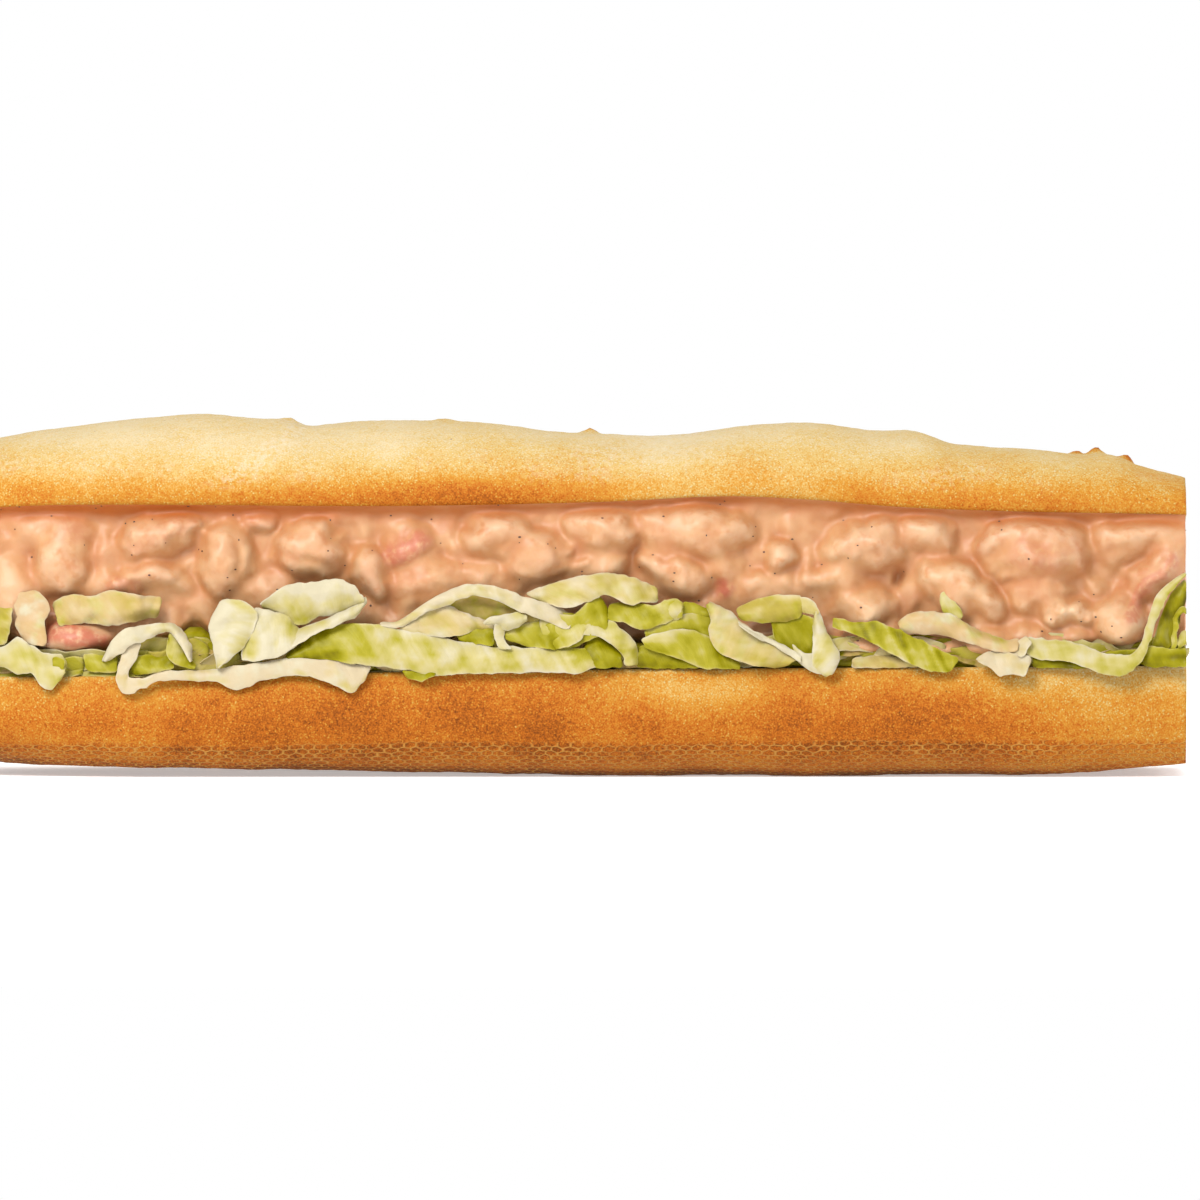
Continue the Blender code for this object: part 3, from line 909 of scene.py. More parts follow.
@dataclass
class BreadHalf:
    """One half of the loaf: crust with its relief, crumb where it was cut."""

    loaf: Loaf
    half: Half
    nubs: tuple[Nub, ...] = ()
    stations: int = 372
    nose_stations: int = 64
    crust_steps: int = 158
    cut_steps: int = 54
    cap_rings: int = 38
    noise: Noise = field(default_factory=lambda: Noise(5))
    base_brown: Outline = Outline(
        (
            (-28, 0.7), (10, 0.69), (50, 0.76), (80, 0.82), (105, 0.8), (125, 0.74), (150, 0.73),
            (178, 0.77), (196, 0.74), (215, 0.62), (237.4, 0.56),
        )
    )
    top_brown: Outline = Outline(
        (
            (-28, 0.3), (20, 0.32), (45, 0.3), (68, 0.4), (92, 0.5), (110, 0.42), (128, 0.13),
            (150, 0.12), (168, 0.24), (190, 0.3), (220, 0.26), (237.4, 0.22),
        )
    )

    def build(self, material: bpy.types.Material) -> bpy.types.Object:
        """Makes the half.

        Args:
            material: the bread material.

        Returns:
            The object, standing for its CAD node.
        """
        along = self._stations()[:, None]
        crust_turn = self._crust_turns()[None, :]
        crust = self.loaf.base_crust if self.half is Half.BASE else self.loaf.top_crust
        out, up = crust(along, crust_turn)
        share = np.linspace(1, 0, self.cut_steps + 2)[None, 1:-1]
        cut_out = out[:, :1] * (1 - share) + out[:, -1:] * share
        cut_up = up[:, :1] * (1 - share) + up[:, -1:] * share
        rings = place(along, np.concatenate([out, cut_out], 1), np.concatenate([up, cut_up], 1))
        values = self._values(rings)
        rings = self._raised(rings, values)
        surface = self._closed(rings, values)
        made = surface.to_object(f"{self.half.value}_half", material)
        return dress(made, Node.BASE if self.half is Half.BASE else Node.TOP, replaces=True)

    def _stations(self) -> np.ndarray:
        """Places for cross-sections, crowded round the heel's nose.

        Returns:
            Distances along the loaf, rising.
        """
        turn = np.linspace(0.03, math.pi / 2, self.nose_stations)
        heel = HEEL_TIP + HEEL_LENGTH * (1 - np.cos(turn))
        rest = np.linspace(heel[-1], CUT_END, self.stations - self.nose_stations + 1)[1:]
        return np.concatenate([heel, rest])

    def _crust_turns(self) -> np.ndarray:
        """Shares of the way round the crust, crowded at the front."""
        t = np.linspace(0, 1, self.crust_steps)
        return t + 0.11 * np.sin(math.pi * t) ** 2 * (t - 1) * 1.6

    def _values(self, rings: np.ndarray) -> dict[str, np.ndarray]:
        """What the material reads: browning with painted light and shade on the base's underside, tray print, flour,
        and where the crumb shows.

        Args:
            rings: the half's points by ring and place in the ring.

        Returns:
            Grids of values by name, with the way round each ring as "arc".
        """
        count, around = rings.shape[:2]
        steps = np.linalg.norm(np.diff(rings, axis=1), axis=-1)
        arc = np.concatenate([np.zeros((count, 1)), np.cumsum(steps, 1)], 1)
        edge = arc[:, self.crust_steps - 1 : self.crust_steps]
        is_crumb = np.zeros((count, around))
        is_crumb[:, self.crust_steps :] = 1.0
        span = arc[:, -1:] - edge
        depth = np.where(is_crumb > 0, np.minimum(arc - edge, span - (arc - edge)), 0.0)
        along, up = rings[..., 0] + MIDDLE, rings[..., 2]
        wander = self.noise.soft(rings, 16.0, 2)
        if self.half is Half.BASE:
            bake, printed, flour = self._base_bake_and_shade(along, up, wander)
        else:
            bake, printed, flour = self._top_bake(along, up, wander)
            for nub, spot in zip(self.nubs, self._nub_spots(rings)):
                bake = bake + nub.browned * spot
        return {
            "bake": bake,
            "print": printed * (1 - is_crumb),
            "flour": flour,
            "crumb": is_crumb,
            "skin_depth": np.maximum(depth, 0.0),
            "pore": np.zeros((count, around)),
            "arc": arc,
        }

    def _base_bake_and_shade(self, along: np.ndarray, up: np.ndarray, wander: np.ndarray) -> tuple[np.ndarray, ...]:
        """Browning, tray print and flour of the base half, with painted light and shade near the table.

        Args:
            along: distance along the loaf.
            up: height over the table.
            wander: noise that makes the edges of the bands uneven.

        Returns:
            The three, each from 0 to about 1.
        """
        below = self.loaf.base_rim(along) - up
        patch = 0.2 * bump(along, 136, 13) * bump(up, 18.0, 4.0)
        pale = (0.08 + 0.12 * ease(along, 150, 190)) * ease(below, 8.0, 2.5)
        bake = self.base_brown(along) + 0.06 * wander - patch - pale - 0.16 * ease(below, 1.3, 0.1)
        # The lowest 8 mm are made paler: painted light on the shaded underside.
        bake = bake + 0.05 * bump(up, 10.5, 2.5) - 0.16 * ease(up, 8.0, 1.0)
        # Browner within about 2 mm of the table: the underside's own baking and painted shade along the bottom edge.
        bake = bake + 0.22 * ease(up - self.loaf.keel(along), 2.2, 0.4)
        printed = ease(up + 0.5 * wander - 0.9 * ease(along, 120, 180), 7.4, 6.0)
        crack = bump(along - 46.5 - 0.3 * (up - 14.0), 0.0, 0.5)
        crack = crack + bump(along - 9.0 + 0.3 * (up - 17.0), 0.0, 0.5) * bump(up, 18, 4)
        return bake - 0.14 * crack, printed, np.zeros_like(bake)

    def _top_bake(self, along: np.ndarray, up: np.ndarray, wander: np.ndarray) -> tuple[np.ndarray, ...]:
        """Browning, tray print and flour of the top half.

        Args:
            along: distance along the loaf.
            up: height over the table.
            wander: noise that makes the edges of the bands uneven.

        Returns:
            The three, each from 0 to about 1.
        """
        above = up - self.loaf.top_rim(along)
        band = ease(above + 1.2 * wander, 8.5, 0.8)
        bake = 0.1 + 0.18 * ease(above, 13.0, 7.0) + self.top_brown(along) * band + 0.07 * wander
        bake = bake + 0.07 * ease(along, 70, 95) + 0.03 * ease(along, 170, 200)
        streak = bump(along - 47.0 - 1.3 * (up - 60.0), 0.0, 4.5) * ease(above, 2.0, 6.0)
        pale = bump(along, 134.0, 13.0) * ease(above, 3.0, 8.0)
        bake = bake - 0.14 * pale
        flour = 0.9 * streak + 0.5 * pale + 0.5 * ease(wander, 0.1, 0.7) * ease(above, 2.0, 7.0)
        return bake, np.zeros_like(bake), np.clip(flour, 0, 1)

    def _nub_spots(self, rings: np.ndarray) -> list[np.ndarray]:
        """Where each nub stands on the crust, from 0 to 1."""
        along, out = rings[..., 0] + MIDDLE, MIDDLE_OUT - rings[..., 1]
        return [bump(along, nub.along, nub.width) * bump(out, nub.across, nub.width * 1.4) for nub in self.nubs]

    def _raised(self, rings: np.ndarray, values: dict[str, np.ndarray]) -> np.ndarray:
        """Adds the relief: swellings and blisters on the crust, pores in the crumb.

        Args:
            rings: the half's points by ring and place in the ring.
            values: what _values gives; "pore" is filled in here.

        Returns:
            The moved points.
        """
        around = np.roll(rings, -1, axis=1) - np.roll(rings, 1, axis=1)
        normal = unit(np.cross(np.gradient(rings, axis=0), around))
        middle = rings.mean(axis=1, keepdims=True)
        outwards = np.sign(np.sum(normal * (rings - middle), axis=-1).mean())
        crust = values["crumb"] < 0.5
        edge = np.minimum(values["arc"], values["arc"][:, self.crust_steps - 1 :][:, :1] - values["arc"])
        fade = ease(edge, 0.0, 2.5)
        lift = 0.45 * self.noise.soft(rings, 24.0, 2) + 0.1 * self.noise.soft(rings, 5.0, 2)
        lift += 0.07 * ease(self.noise.spots(rings, 2.6), 0.55, 0.2)
        for nub, spot in zip(self.nubs, self._nub_spots(rings)):
            lift += nub.height * spot * (1.0 + 0.4 * self.noise.soft(rings, 1.6, 2))
        pits = ease(self.noise.spots(rings, 3.4), 0.5, 0.3) * 0.9 + ease(self.noise.spots(rings, 1.9), 0.42, 0.3) * 0.5
        pits *= ease(values["skin_depth"], 2.6, 5.0) * ease(CUT_END - MIDDLE - rings[..., 0], 0.0, 1.6)
        # The pits' depth goes to the material, which paints shade into them.
        values["pore"] = np.where(crust, 0.0, np.clip(pits, 0, 1))
        moved = np.where(crust, lift * fade, -pits)
        rings = rings + normal * (moved * outwards)[..., None]
        rings[..., 2] = np.maximum(rings[..., 2], 0.0)
        return rings

    def _closed(self, rings: np.ndarray, values: dict[str, np.ndarray]) -> Surface:
        """Closes the rings with a point at the heel and a cut face of porous crumb at the far end.

        Args:
            rings: the half's points by ring and place in the ring.
            values: what _values gives; "arc" is taken out here.

        Returns:
            The closed body.
        """
        arc, around = values.pop("arc"), rings.shape[1]
        along_uv = np.broadcast_to(rings[..., 0], arc.shape)
        cap = shrinking(rings[-1], self.cap_rings)
        inwards = np.linalg.norm(cap - rings[-1], axis=-1) * 0.8
        depth = inwards + values["skin_depth"][-1]
        pits = ease(self.noise.spots(cap * (1, 0.7, 1.2) + 40.0, 3.0), 0.5, 0.26) * 0.7
        pits += ease(self.noise.spots(cap, 1.9), 0.42, 0.28) * 0.35
        pits *= ease(inwards, 0.5, 1.6) * ease(depth, 0.8, 2.2)
        cap[..., 0] -= pits
        ones = np.ones((self.cap_rings, around))
        extra = {"bake": ones * 0.3, "print": ones * 0, "flour": ones * 0, "crumb": ones}
        # The cut face's pits carry the painted shade too.
        extra.update(skin_depth=depth, pore=np.clip(pits, 0, 1))
        surface = tube(np.concatenate([rings, cap]))
        for key, grid in extra.items():
            ends = [values[key][0].mean(), grid[-1].mean()]
            surface.values[key] = np.concatenate([values[key].ravel(), grid.ravel(), ends])
        uv = np.stack([along_uv, arc], axis=-1).reshape(-1, 2)
        cap_uv = np.broadcast_to(uv[-around:], (self.cap_rings, around, 2)).reshape(-1, 2)
        surface.uv = np.concatenate([uv, cap_uv, uv[:1], uv[-1:]])
        return surface


# The prawns -----------------------------------------------------------------------------


@dataclass(frozen=True)
class Lump:
    """A prawn, or a part of one, under the sauce: its line, its girth and how far it stands out.

    The line is a run of along, up pairs. Blush is how red it shows, rough is how knobbly it is,
    and rings counts the folds across it.
    """

    line: tuple[float, ...]
    girth: tuple[float, ...]
    proud: float = 5.6
    blush: float = 0.0
    rough: float = 0.0
    rings: float = 0.0

    def traced(self) -> tuple[np.ndarray, np.ndarray]:
        """Reads the line and the girth finely.

        Returns:
            Points (along, up) and the radius at each.
        """
        marks = np.reshape(self.line, (-1, 2)).astype(float)
        if len(marks) == 1:
            return marks, np.array(self.girth[:1], float)
        t = np.linspace(0, 1, 44)
        return np.stack(smooth_line(marks, t), 1), evenly(self.girth, t)


@dataclass(frozen=True)
class Mass:
    """A rounded body of the heap that lumps sit on: where it is, how large, and how it leans.

    Wide and tall are half its size, height is how far it stands out, and the lean is in degrees.
    """

    along: float
    up: float
    wide: float
    tall: float
    height: float
    lean: float = 0.0
    rough: float = 0.0

    def dome(self, along: np.ndarray, up: np.ndarray) -> np.ndarray:
        """How far it stands out.

        Args:
            along: places along the loaf.
            up: their heights.

        Returns:
            Its height there, falling below nought past its edge.
        """
        turn = math.radians(self.lean)
        x = (along - self.along) * math.cos(turn) + (up - self.up) * math.sin(turn)
        z = (up - self.up) * math.cos(turn) - (along - self.along) * math.sin(turn)
        q = np.sqrt((x / self.wide) ** 2 + (z / self.tall) ** 2) / 1.12
        return self.height * np.where(q < 1, np.clip(1 - q**2, 0, 1) ** 0.66, -1.6 * (q - 1))


# Measured along the front: along, up, wide, tall, height, lean, rough.
FRONT_MASSES = tuple(Mass(*row) for row in (
    (12.8, 43.2, 5.6, 7.2, 5.2), (10.6, 49.2, 8.2, 3.6, 3.2), (1.6, 37.6, 6.4, 7.4, 4.6),
    (-2, 47, 5, 4.4, 3.6), (32.2, 48.4, 8.8, 4.4, 5.4, 14, 0.5), (30.6, 40.4, 6.2, 3.4, 4.2, -4),
    (22, 38, 5.6, 3.6, 3), (45.4, 43.4, 5.9, 7.3, 5.8, -6), (51.8, 51.2, 3.8, 2, 2.6),
    (62.4, 45.6, 7.1, 6, 6.2), (54, 37, 5, 4.6, 3.2), (74.2, 40.8, 3.7, 5.3, 5.2, 4),
    (81.8, 45.4, 5.4, 5, 3.2, 20), (87, 38.4, 7.2, 5, 3.6, 10), (99.6, 48.4, 6.8, 4.8, 5.4, 8),
    (107.6, 44.2, 7, 5.4, 5.8, 10), (98, 39.6, 6.6, 4.4, 3.6), (120.8, 49.6, 7.6, 4.8, 5.8),
    (119.4, 42.6, 5.8, 4.4, 4.2), (139.4, 49.2, 11.8, 5.9, 6.6, -3), (135.6, 41.4, 7.8, 4.8, 5.4, -24),
    (144.6, 42, 5, 4, 3.8), (156.2, 44.4, 3.6, 3.4, 4.6), (154.4, 37.8, 10.4, 4.2, 3.4),
    (172.8, 46.4, 8.6, 5.5, 5.8, 12), (185.4, 48.8, 6.2, 4, 3.6, -16), (173.4, 34.4, 6.4, 4, 4.8),
    (168, 39.8, 6, 3.6, 3.8), (192.4, 37.8, 9.2, 5.4, 6, -28), (206.8, 45.2, 10.8, 6.9, 6.2),
    (208, 36.6, 7, 4.4, 4.4), (213, 33, 6.2, 2.8, 4.6, 0, 0.9), (224, 31.8, 5.6, 5.2, 5.2),
    (228.4, 48.8, 9.8, 3.8, 3.8), (232, 41.6, 8, 4, 4.2, 42), (-12, 42.4, 7, 6, 4.6),
    (15.4, 28, 7.4, 3.6, 5.4, 8),
))

# Drawn along the front: line, girth, proud, blush, rough, rings.
FRONT_LUMPS = tuple(Lump(*row) for row in (
    ((1, 41.2), (4.2,), 5), ((5.6, 49), (3.3,), 3.4, 0.1), ((14.8, 49.4), (3.7,), 3.6, 0.35),
    ((10.2, 47.4, 10.8, 44.6), (2.2, 2.6), 6.4), ((12.4, 43.2, 11.2, 39.6), (4.6, 3.8), 5.9, 0.1),
    ((16.6, 43.4, 16.4, 41), (1.9, 1.7), 5.4, 0.2), ((7, 38.4), (3.6,), 4.6),
    ((26.4, 46.8, 32.2, 49.4, 38.4, 50.8), (3, 3.2, 2.3), 5.8, 0.25, 0.5, 4), ((33.4, 52.2), (1.1,), 5.2),
    ((35.8, 52.6), (1,), 4.8), ((39.4, 51.6), (0.9,), 5),
    ((26, 41, 30.4, 41.4, 34.4, 40.6), (2, 2.6, 2), 5.2, 0.15), ((32.8, 42), (1.5,), 6.2),
    ((23.4, 38.2, 27, 38), (2.4, 2.2), 4.2, 0.5), ((20.6, 44.4), (2.6,), 2.6, 0.2),
    ((42.4, 48.6, 44.6, 45.2, 43.6, 40.6, 43.4, 37), (2.2, 3.3, 3.1, 2.1), 5.9, 0.1),
    ((41.4, 48.8, 43.4, 49.6), (1.2, 1.2), 5.9), ((40.6, 42), (2.2,), 4.6),
    ((45.8, 49.2, 48.8, 48.9, 50.4, 46, 50.2, 42), (1.9, 1.8, 1.6, 1.3), 5.7), ((37.2, 38.6), (2.6,), 3.6),
    ((49.4, 51.6, 54.2, 51.2), (1.7, 1.9), 3, 0.2), ((47.2, 38), (2.4,), 4.2),
    ((56.6, 43.4, 58.6, 46.8, 62.4, 48, 65.6, 45.2), (3.2, 3.6, 3.6, 3.1), 5.8, 0.15),
    ((56.2, 48.4, 57, 46.4), (1.1, 1.3), 6.6), ((60.6, 50.8), (1.4,), 5.4), ((64.2, 50.4), (1.1,), 5),
    ((66.8, 47.4, 68.9, 48.7), (1.1, 0.6), 5.6), ((59, 41, 63, 40.2), (3, 2.8), 5),
    ((70.8, 44.4, 71.4, 41.6), (2.6, 2.2), 3.8),
    ((75, 44.8, 74, 40.8, 74.8, 37.2), (1.8, 2.7, 1.9), 5.7, 0.2),
    ((78.6, 45, 82.6, 46.6), (2.6, 3.3), 4.4, 0.9), ((79.2, 38.6, 83.6, 40), (2.6, 3.2), 4.6, 0.2),
    ((88, 41.6), (3.2,), 3.6), ((88.4, 49.8), (3,), 2.4, 0.2),
    ((91.8, 43.2, 93.9, 47, 97.5, 50.2, 102.8, 50.4, 105.4, 48), (2.6, 3.3, 3.5, 3.4, 2.5), 5.4, 0.1),
    ((93.2, 48, 96.6, 51.2), (0.8, 0.9), 7.4), ((96.4, 41.8), (3.2,), 4.4),
    ((113.2, 46.4, 111, 49.3, 107.4, 48.6, 103.6, 45.6, 102, 43, 104.4, 40, 108.4, 38.4), (1.7, 2.1, 2.5,
     2.6, 2.4, 2.2, 1.8), 5.9, 0.1),
    ((108.4, 43.6), (3.4,), 4.8, 0.15), ((110.2, 39.4, 113.2, 41.6, 116.8, 43.6), (1.2, 1.4, 1.1), 5.8),
    ((114.8, 50.4, 118.4, 52, 122.2, 51.4, 125.2, 48.8), (2.5, 3, 3.1, 2.6), 5.5, 0.1),
    ((119.3, 46.8), (2.6,), 5.2), ((115.4, 46.8), (2,), 4.4, 0.2), ((122.6, 42.4), (3.4,), 3.8),
    ((129.4, 50.2, 133.6, 49.6, 139, 50, 145, 48.6), (2.6, 4.6, 5.3, 4.6), 6.5, 0.1, 0, 5),
    ((129.6, 43.8, 134, 41.8, 139.6, 38.2), (2.6, 3.5, 2.6), 5.4, 0.1),
    ((130.2, 45, 131.2, 41.2), (1.3, 1.2), 6.3), ((135, 43, 136.2, 38.4), (1.4, 1.3), 6.4),
    ((139, 41.6, 140.2, 37.4), (1.3, 1.3), 6), ((144.8, 37.6), (2.4,), 4.2, 1), ((144, 42.4), (3.4,), 4.4),
    ((150.4, 40.2), (3.4,), 3.8), ((151.6, 47.2), (2.6,), 1.8),
    ((157.2, 47, 156, 44.2, 154.6, 41.8), (1.9, 2.4, 1.7), 5.6, 0.1), ((161.2, 45.2, 162.6, 41), (3, 3), 4),
    ((170, 47, 176.6, 49.2, 183.6, 49.4, 187.4, 46.8), (3.2, 4.7, 4.6, 3), 6, 0.1, 0, 4),
    ((166.8, 46), (2.5,), 6.6), ((167.2, 45, 168.8, 48.2, 173.8, 51), (1.1, 1.2, 1), 6.5),
    ((176.6, 44.2), (3.6,), 4.8, 0.1), ((177.8, 40.4), (1,), 5.6),
    ((170.4, 36.2, 174.4, 33.8), (3.3, 3.2), 6), ((163.6, 39.8, 169.2, 40.6), (3, 2.8), 4.8),
    ((182, 35.6), (3.2,), 4.8, 0.2),
    ((185.4, 42.4, 191.4, 41, 196.6, 38.4, 199, 34.2), (2.2, 3.4, 3.5, 2.9), 6.3),
    ((184.8, 41.4), (1.6,), 6), ((190.4, 35.4), (3.4,), 5.2, 0.1), ((191.4, 48.6), (3,), 2.4, 0.1),
    ((196.8, 45, 199.8, 48.8, 205.8, 50.6, 211.8, 48.9, 215.8, 45.2, 216.4, 42.2), (1.9, 2.5, 2.9, 3.1, 2.6,
     2), 6.3, 0.2, 0, 6),
    ((205, 45, 210.8, 44.2), (3.9, 3.7), 5.6, 0.35), ((203.4, 39.2, 209.6, 38.2), (3.2, 3.5), 5.2, 0.15),
    ((209.6, 33.4, 216, 33.6), (2.5, 2.6), 5.2, 0, 0.9), ((220.4, 32.6, 225.2, 31.2), (3.5, 3.7), 6),
    ((223.6, 35.2, 226.8, 41, 231.4, 44.4, 237.2, 47.8), (1.6, 1.8, 1.9, 1.9), 6.2, 0.2),
    ((226.4, 32.4, 229.2, 38.4, 234.6, 43.4), (1.7, 1.7, 1.6), 5.8, 0.7),
    ((236, 40, 236.4, 35), (2.4, 2.6), 4.6, 0.2), ((221.4, 46, 228, 48.2), (3.8, 3.6), 3.8, 0.1),
    ((233.4, 49.2), (3,), 4, 0.1), ((219.8, 38.6), (2.2,), 2.2),
    ((171.4, 30, 172.6, 25.6), (3.4, 2.6), 6.4), ((189, 31, 194, 29, 198.6, 26.2), (3.4, 3.6, 3.4), 6.2),
    ((203, 33.6, 205.6, 29.6), (3, 2.6), 5.4), ((201, 24.8), (2.6,), 6),
    ((2.6, 36.4, 4.6, 32.8), (3.4, 2.6), 5.6),
    ((10.2, 29.2, 15.2, 28, 20.6, 26.8), (2.4, 2.9, 2.1), 7.4, 1, 0, 5), ((-3, 46), (3.6,), 5, 0.2),
    ((-6, 39.6, -1.6, 38.4), (3.4, 3), 5.6), ((-11, 44.6, -8.6, 47.6), (3.2, 2.8), 5.2, 0.1),
    ((-12.6, 38.2), (3.2,), 4.8), ((-18, 42), (3,), 4, 0.3),
))


@dataclass
class SaucedHeap:
    """Prawns in pink sauce: one skin that coats every lump and creeps up under the top half."""

    loaf: Loaf
    front: float = 24.9
    coat_out: float = 28.9
    blend: float = 0.7
    fuller: float = 1.1
    stations: int = 690
    nose_stations: int = 90
    nose_length: float = 40.0
    foot_tuck: float = 2.6
    creep: float = 1.7
    coats: int = 2
    hollow_reach: int = 26
    hollow_depth: float = 1.2
    front_steps: int = 68
    back_steps: int = 38
    over_steps: int = 9
    cap_rings: int = 8
    seed: int = 21
    low: Outline = Outline(
        (
            (-23, 26.2), (6, 25.8), (11, 23.8), (19, 23.6), (25, 25.2), (29, 26.2), (35, 27.6), (39, 30.0),
            (43, 27.4), (49, 26.6), (60, 26.6), (130, 26.4), (162, 25.6), (172, 24.0), (200, 24.0),
            (216, 25.4), (237.4, 25.8),
        )
    )
    skirt: Outline = Outline(((-23, 2.6), (160, 2.6), (172, 4.4), (208, 4.4), (222, 3.2), (237.4, 2.8)))

    def build(self, material: bpy.types.Material) -> bpy.types.Object:
        """Makes the heap.

        Args:
            material: the sauce material.

        Returns:
            The object, standing for its CAD node.
        """
        noise = Noise(self.seed)
        along = self._places()[:, None]
        front, front_values = self._skin(along, 1, FRONT_LUMPS, self.front_steps, noise)
        back, back_values = self._skin(along, -1, self._back_lumps(), self.back_steps, noise)
        share = np.linspace(0, 1, self.over_steps + 2)[None, 1:-1, None]
        over = front[:, -1:] * (1 - share) + back[:, -1:] * share
        under = back[:, :1] * (1 - share) + front[:, :1] * share
        rings = np.concatenate([front, over, back[:, ::-1], under], axis=1)
        flat = np.zeros(over.shape[:2])
        values = {}
        for key, grid in front_values.items():
            values[key] = np.concatenate([grid, flat, back_values[key][:, ::-1], flat], axis=1)
        surface = self._capped(rings, values)
        return dress(surface.to_object("sauced_prawns", material), Node.PRAWNS, replaces=True)

    def _places(self) -> np.ndarray:
        """Places for cross-sections, crowded round the heel.

        Returns:
            Distances along the loaf, rising.
        """
        turn = np.linspace(0.05, math.pi / 2, self.nose_stations)
        heel = FILLING_TIP + self.nose_length * (1 - np.cos(turn))
        rest = np.linspace(heel[-1], CUT_END - 0.2, self.stations - self.nose_stations + 1)[1:]
        return np.concatenate([heel, rest])

    def _skin(
        self, along: np.ndarray, side: int, lumps: tuple[Lump, ...], steps: int, noise: Noise
    ) -> tuple[np.ndarray, dict[str, np.ndarray]]:
        """One side of the heap from its lower edge up to the bread.

        Args:
            along: places along the loaf, as a column.
            side: 1 for the front, -1 for the back.
            lumps: what stands out.
            steps: number of points up the side.
            noise: what makes it uneven.

        Returns:
            The points and the values that the material reads.
        """
        share = heel_share(along, FILLING_TIP)
        t = np.linspace(0, 1, steps)[None, :]
        low = self.low(along)
        coat = share + (heel_share(along, HEEL_TIP) - share) * ease(share, 0.0, 0.5)
        coat = coat * self.loaf.narrowing(along)
        high = self.loaf.ceiling(along, side * self.coat_out * coat) + 0.2
        up = low + (high - low) * t
        below, above = up - low, high - up
        out = self.front * share - self.foot_tuck * share * bump(below, 0.0, 1.4)
        out = out + self.skirt(along) * share * ease(below, 9.0, 1.0)
        out = out + (self.coat_out * coat - self.front * share) * np.exp(-((above / self.creep) ** 1.4))
        masses = FRONT_MASSES if side == 1 else self._back_masses()
        relief, blush = self._relief(along + 0 * up, up, masses, lumps, noise)
        weight = ease(below, -0.6, 1.4) * ease(above, 0.5, 3.6) * ease(share, 0.12, 0.45)
        lively = 1 + 0.24 * ease(along, 160.0, 185.0) + 0.15 * bump(along, 90.0, 14.0)
        relief = self._coated(relief * weight * lively, self.coats)
        # Painted shade in the crevices: how far the coated relief lies below its widely evened copy.
        hollow = np.clip((self._coated(relief, self.hollow_reach) - relief) / self.hollow_depth, -1, 1)
        shade = ease(above, 4.8, 1.4) * (1 - 0.45 * ease(along, 30.0, 110.0))
        width = self.front * share
        slope = np.gradient(width[:, 0], along[:, 0])[:, None]
        lean = np.sqrt(1 + slope**2)
        middle = (self.low(along) + high) / 2
        rise = middle + (up - middle) * np.maximum(ease(share, 0.0, 0.5), 0.02) ** 0.25
        points = place(along - relief * slope / lean, side * (out + relief / lean), rise)
        values = {"blush": blush * weight, "shade": shade}
        # Painted shade in the crevices and a painted highlight on the lumps' tops, from the same comparison.
        values.update(hollow=np.clip(hollow, 0, 1), ridge=np.clip(-hollow, 0, 1))
        return points, values

    def _relief(
        self, along: np.ndarray, up: np.ndarray, masses: tuple[Mass, ...], lumps: tuple[Lump, ...], noise: Noise
    ) -> tuple[np.ndarray, np.ndarray]:
        """How far the prawns push the skin out, melted together, and how red it is.

        Args:
            along: places along the loaf.
            up: their heights.
            masses: the large bodies.
            lumps: the prawns on them.
            noise: what makes it uneven.

        Returns:
            The push in millimetres, and the redness from 0 to 1.
        """
        ground = place(along, 0, up)
        drift = [1.1 * noise.soft(ground + k, 5.6, 2) + 0.28 * noise.soft(ground + k, 2.3) for k in (130.0, 170.0)]
        along, up = along + drift[0], up + drift[1]
        body = np.exp((0.9 + 1.7 * noise.soft(ground, 7.0, 2)) / self.blend)
        for mass in masses:
            height = mass.dome(along, up)
            if mass.rough:
                height = height + mass.rough * ease(height, 0.0, 2.0) * self._knobbly(ground, noise)
            body += np.exp(height / self.blend)
        folds, blush = np.zeros(along.shape), np.zeros(along.shape)
        for lump in lumps:
            line, girth = lump.traced()
            girth = girth * self.fuller
            reach = girth.max() * 1.6 + 2.0
            here = ground[:, 0, 0] + MIDDLE
            rows = np.flatnonzero((here > line[:, 0].min() - reach) & (here < line[:, 0].max() + reach))
            if not len(rows):
                continue
            part = slice(rows[0], rows[-1] + 1)
            spots = np.stack([along[part], up[part]], axis=-1)
            apart = np.linalg.norm(spots[:, :, None] - line, axis=-1) / girth
            nearest = apart.argmin(axis=-1)
            q = apart.min(axis=-1)
            inside = ease(q, 1.0, 0.7)
            rise = 0.09 * lump.proud * min(float(girth.max()), 2.4)
            height = rise * np.clip(1 - q**2, 0, 1) ** 1.1
            if lump.rings:
                height = height - 0.14 * inside * np.cos(2 * math.pi * lump.rings * nearest / len(line)) ** 8
            if lump.rough:
                height = height + lump.rough * inside * self._knobbly(ground[part], noise)
            folds[part] += height
            blush[part] = np.maximum(blush[part], lump.blush * ease(q, 1.15, 0.4))
        uneven = 0.2 * noise.soft(ground + 50, 3.0, 2) + 0.08 * noise.soft(ground + 20, 1.4, 2)
        body = self.blend * np.log(body) - 2.8 * bump(along, 179.6, 1.3) * bump(up, 40.0, 1.1)
        knobs = 0.5 * ease(noise.spots(ground + 11.0, 4.4), 0.66, 0.0) * ease(body, 1.6, 3.4)
        return body + knobs + 1.5 * np.tanh(folds / 1.5) + uneven, blush

    def _knobbly(self, ground: np.ndarray, noise: Noise) -> np.ndarray:
        """Small close knobs, as on a rough prawn."""
        return 0.9 - 1.6 * np.minimum(noise.spots(ground, 1.25), 0.8)

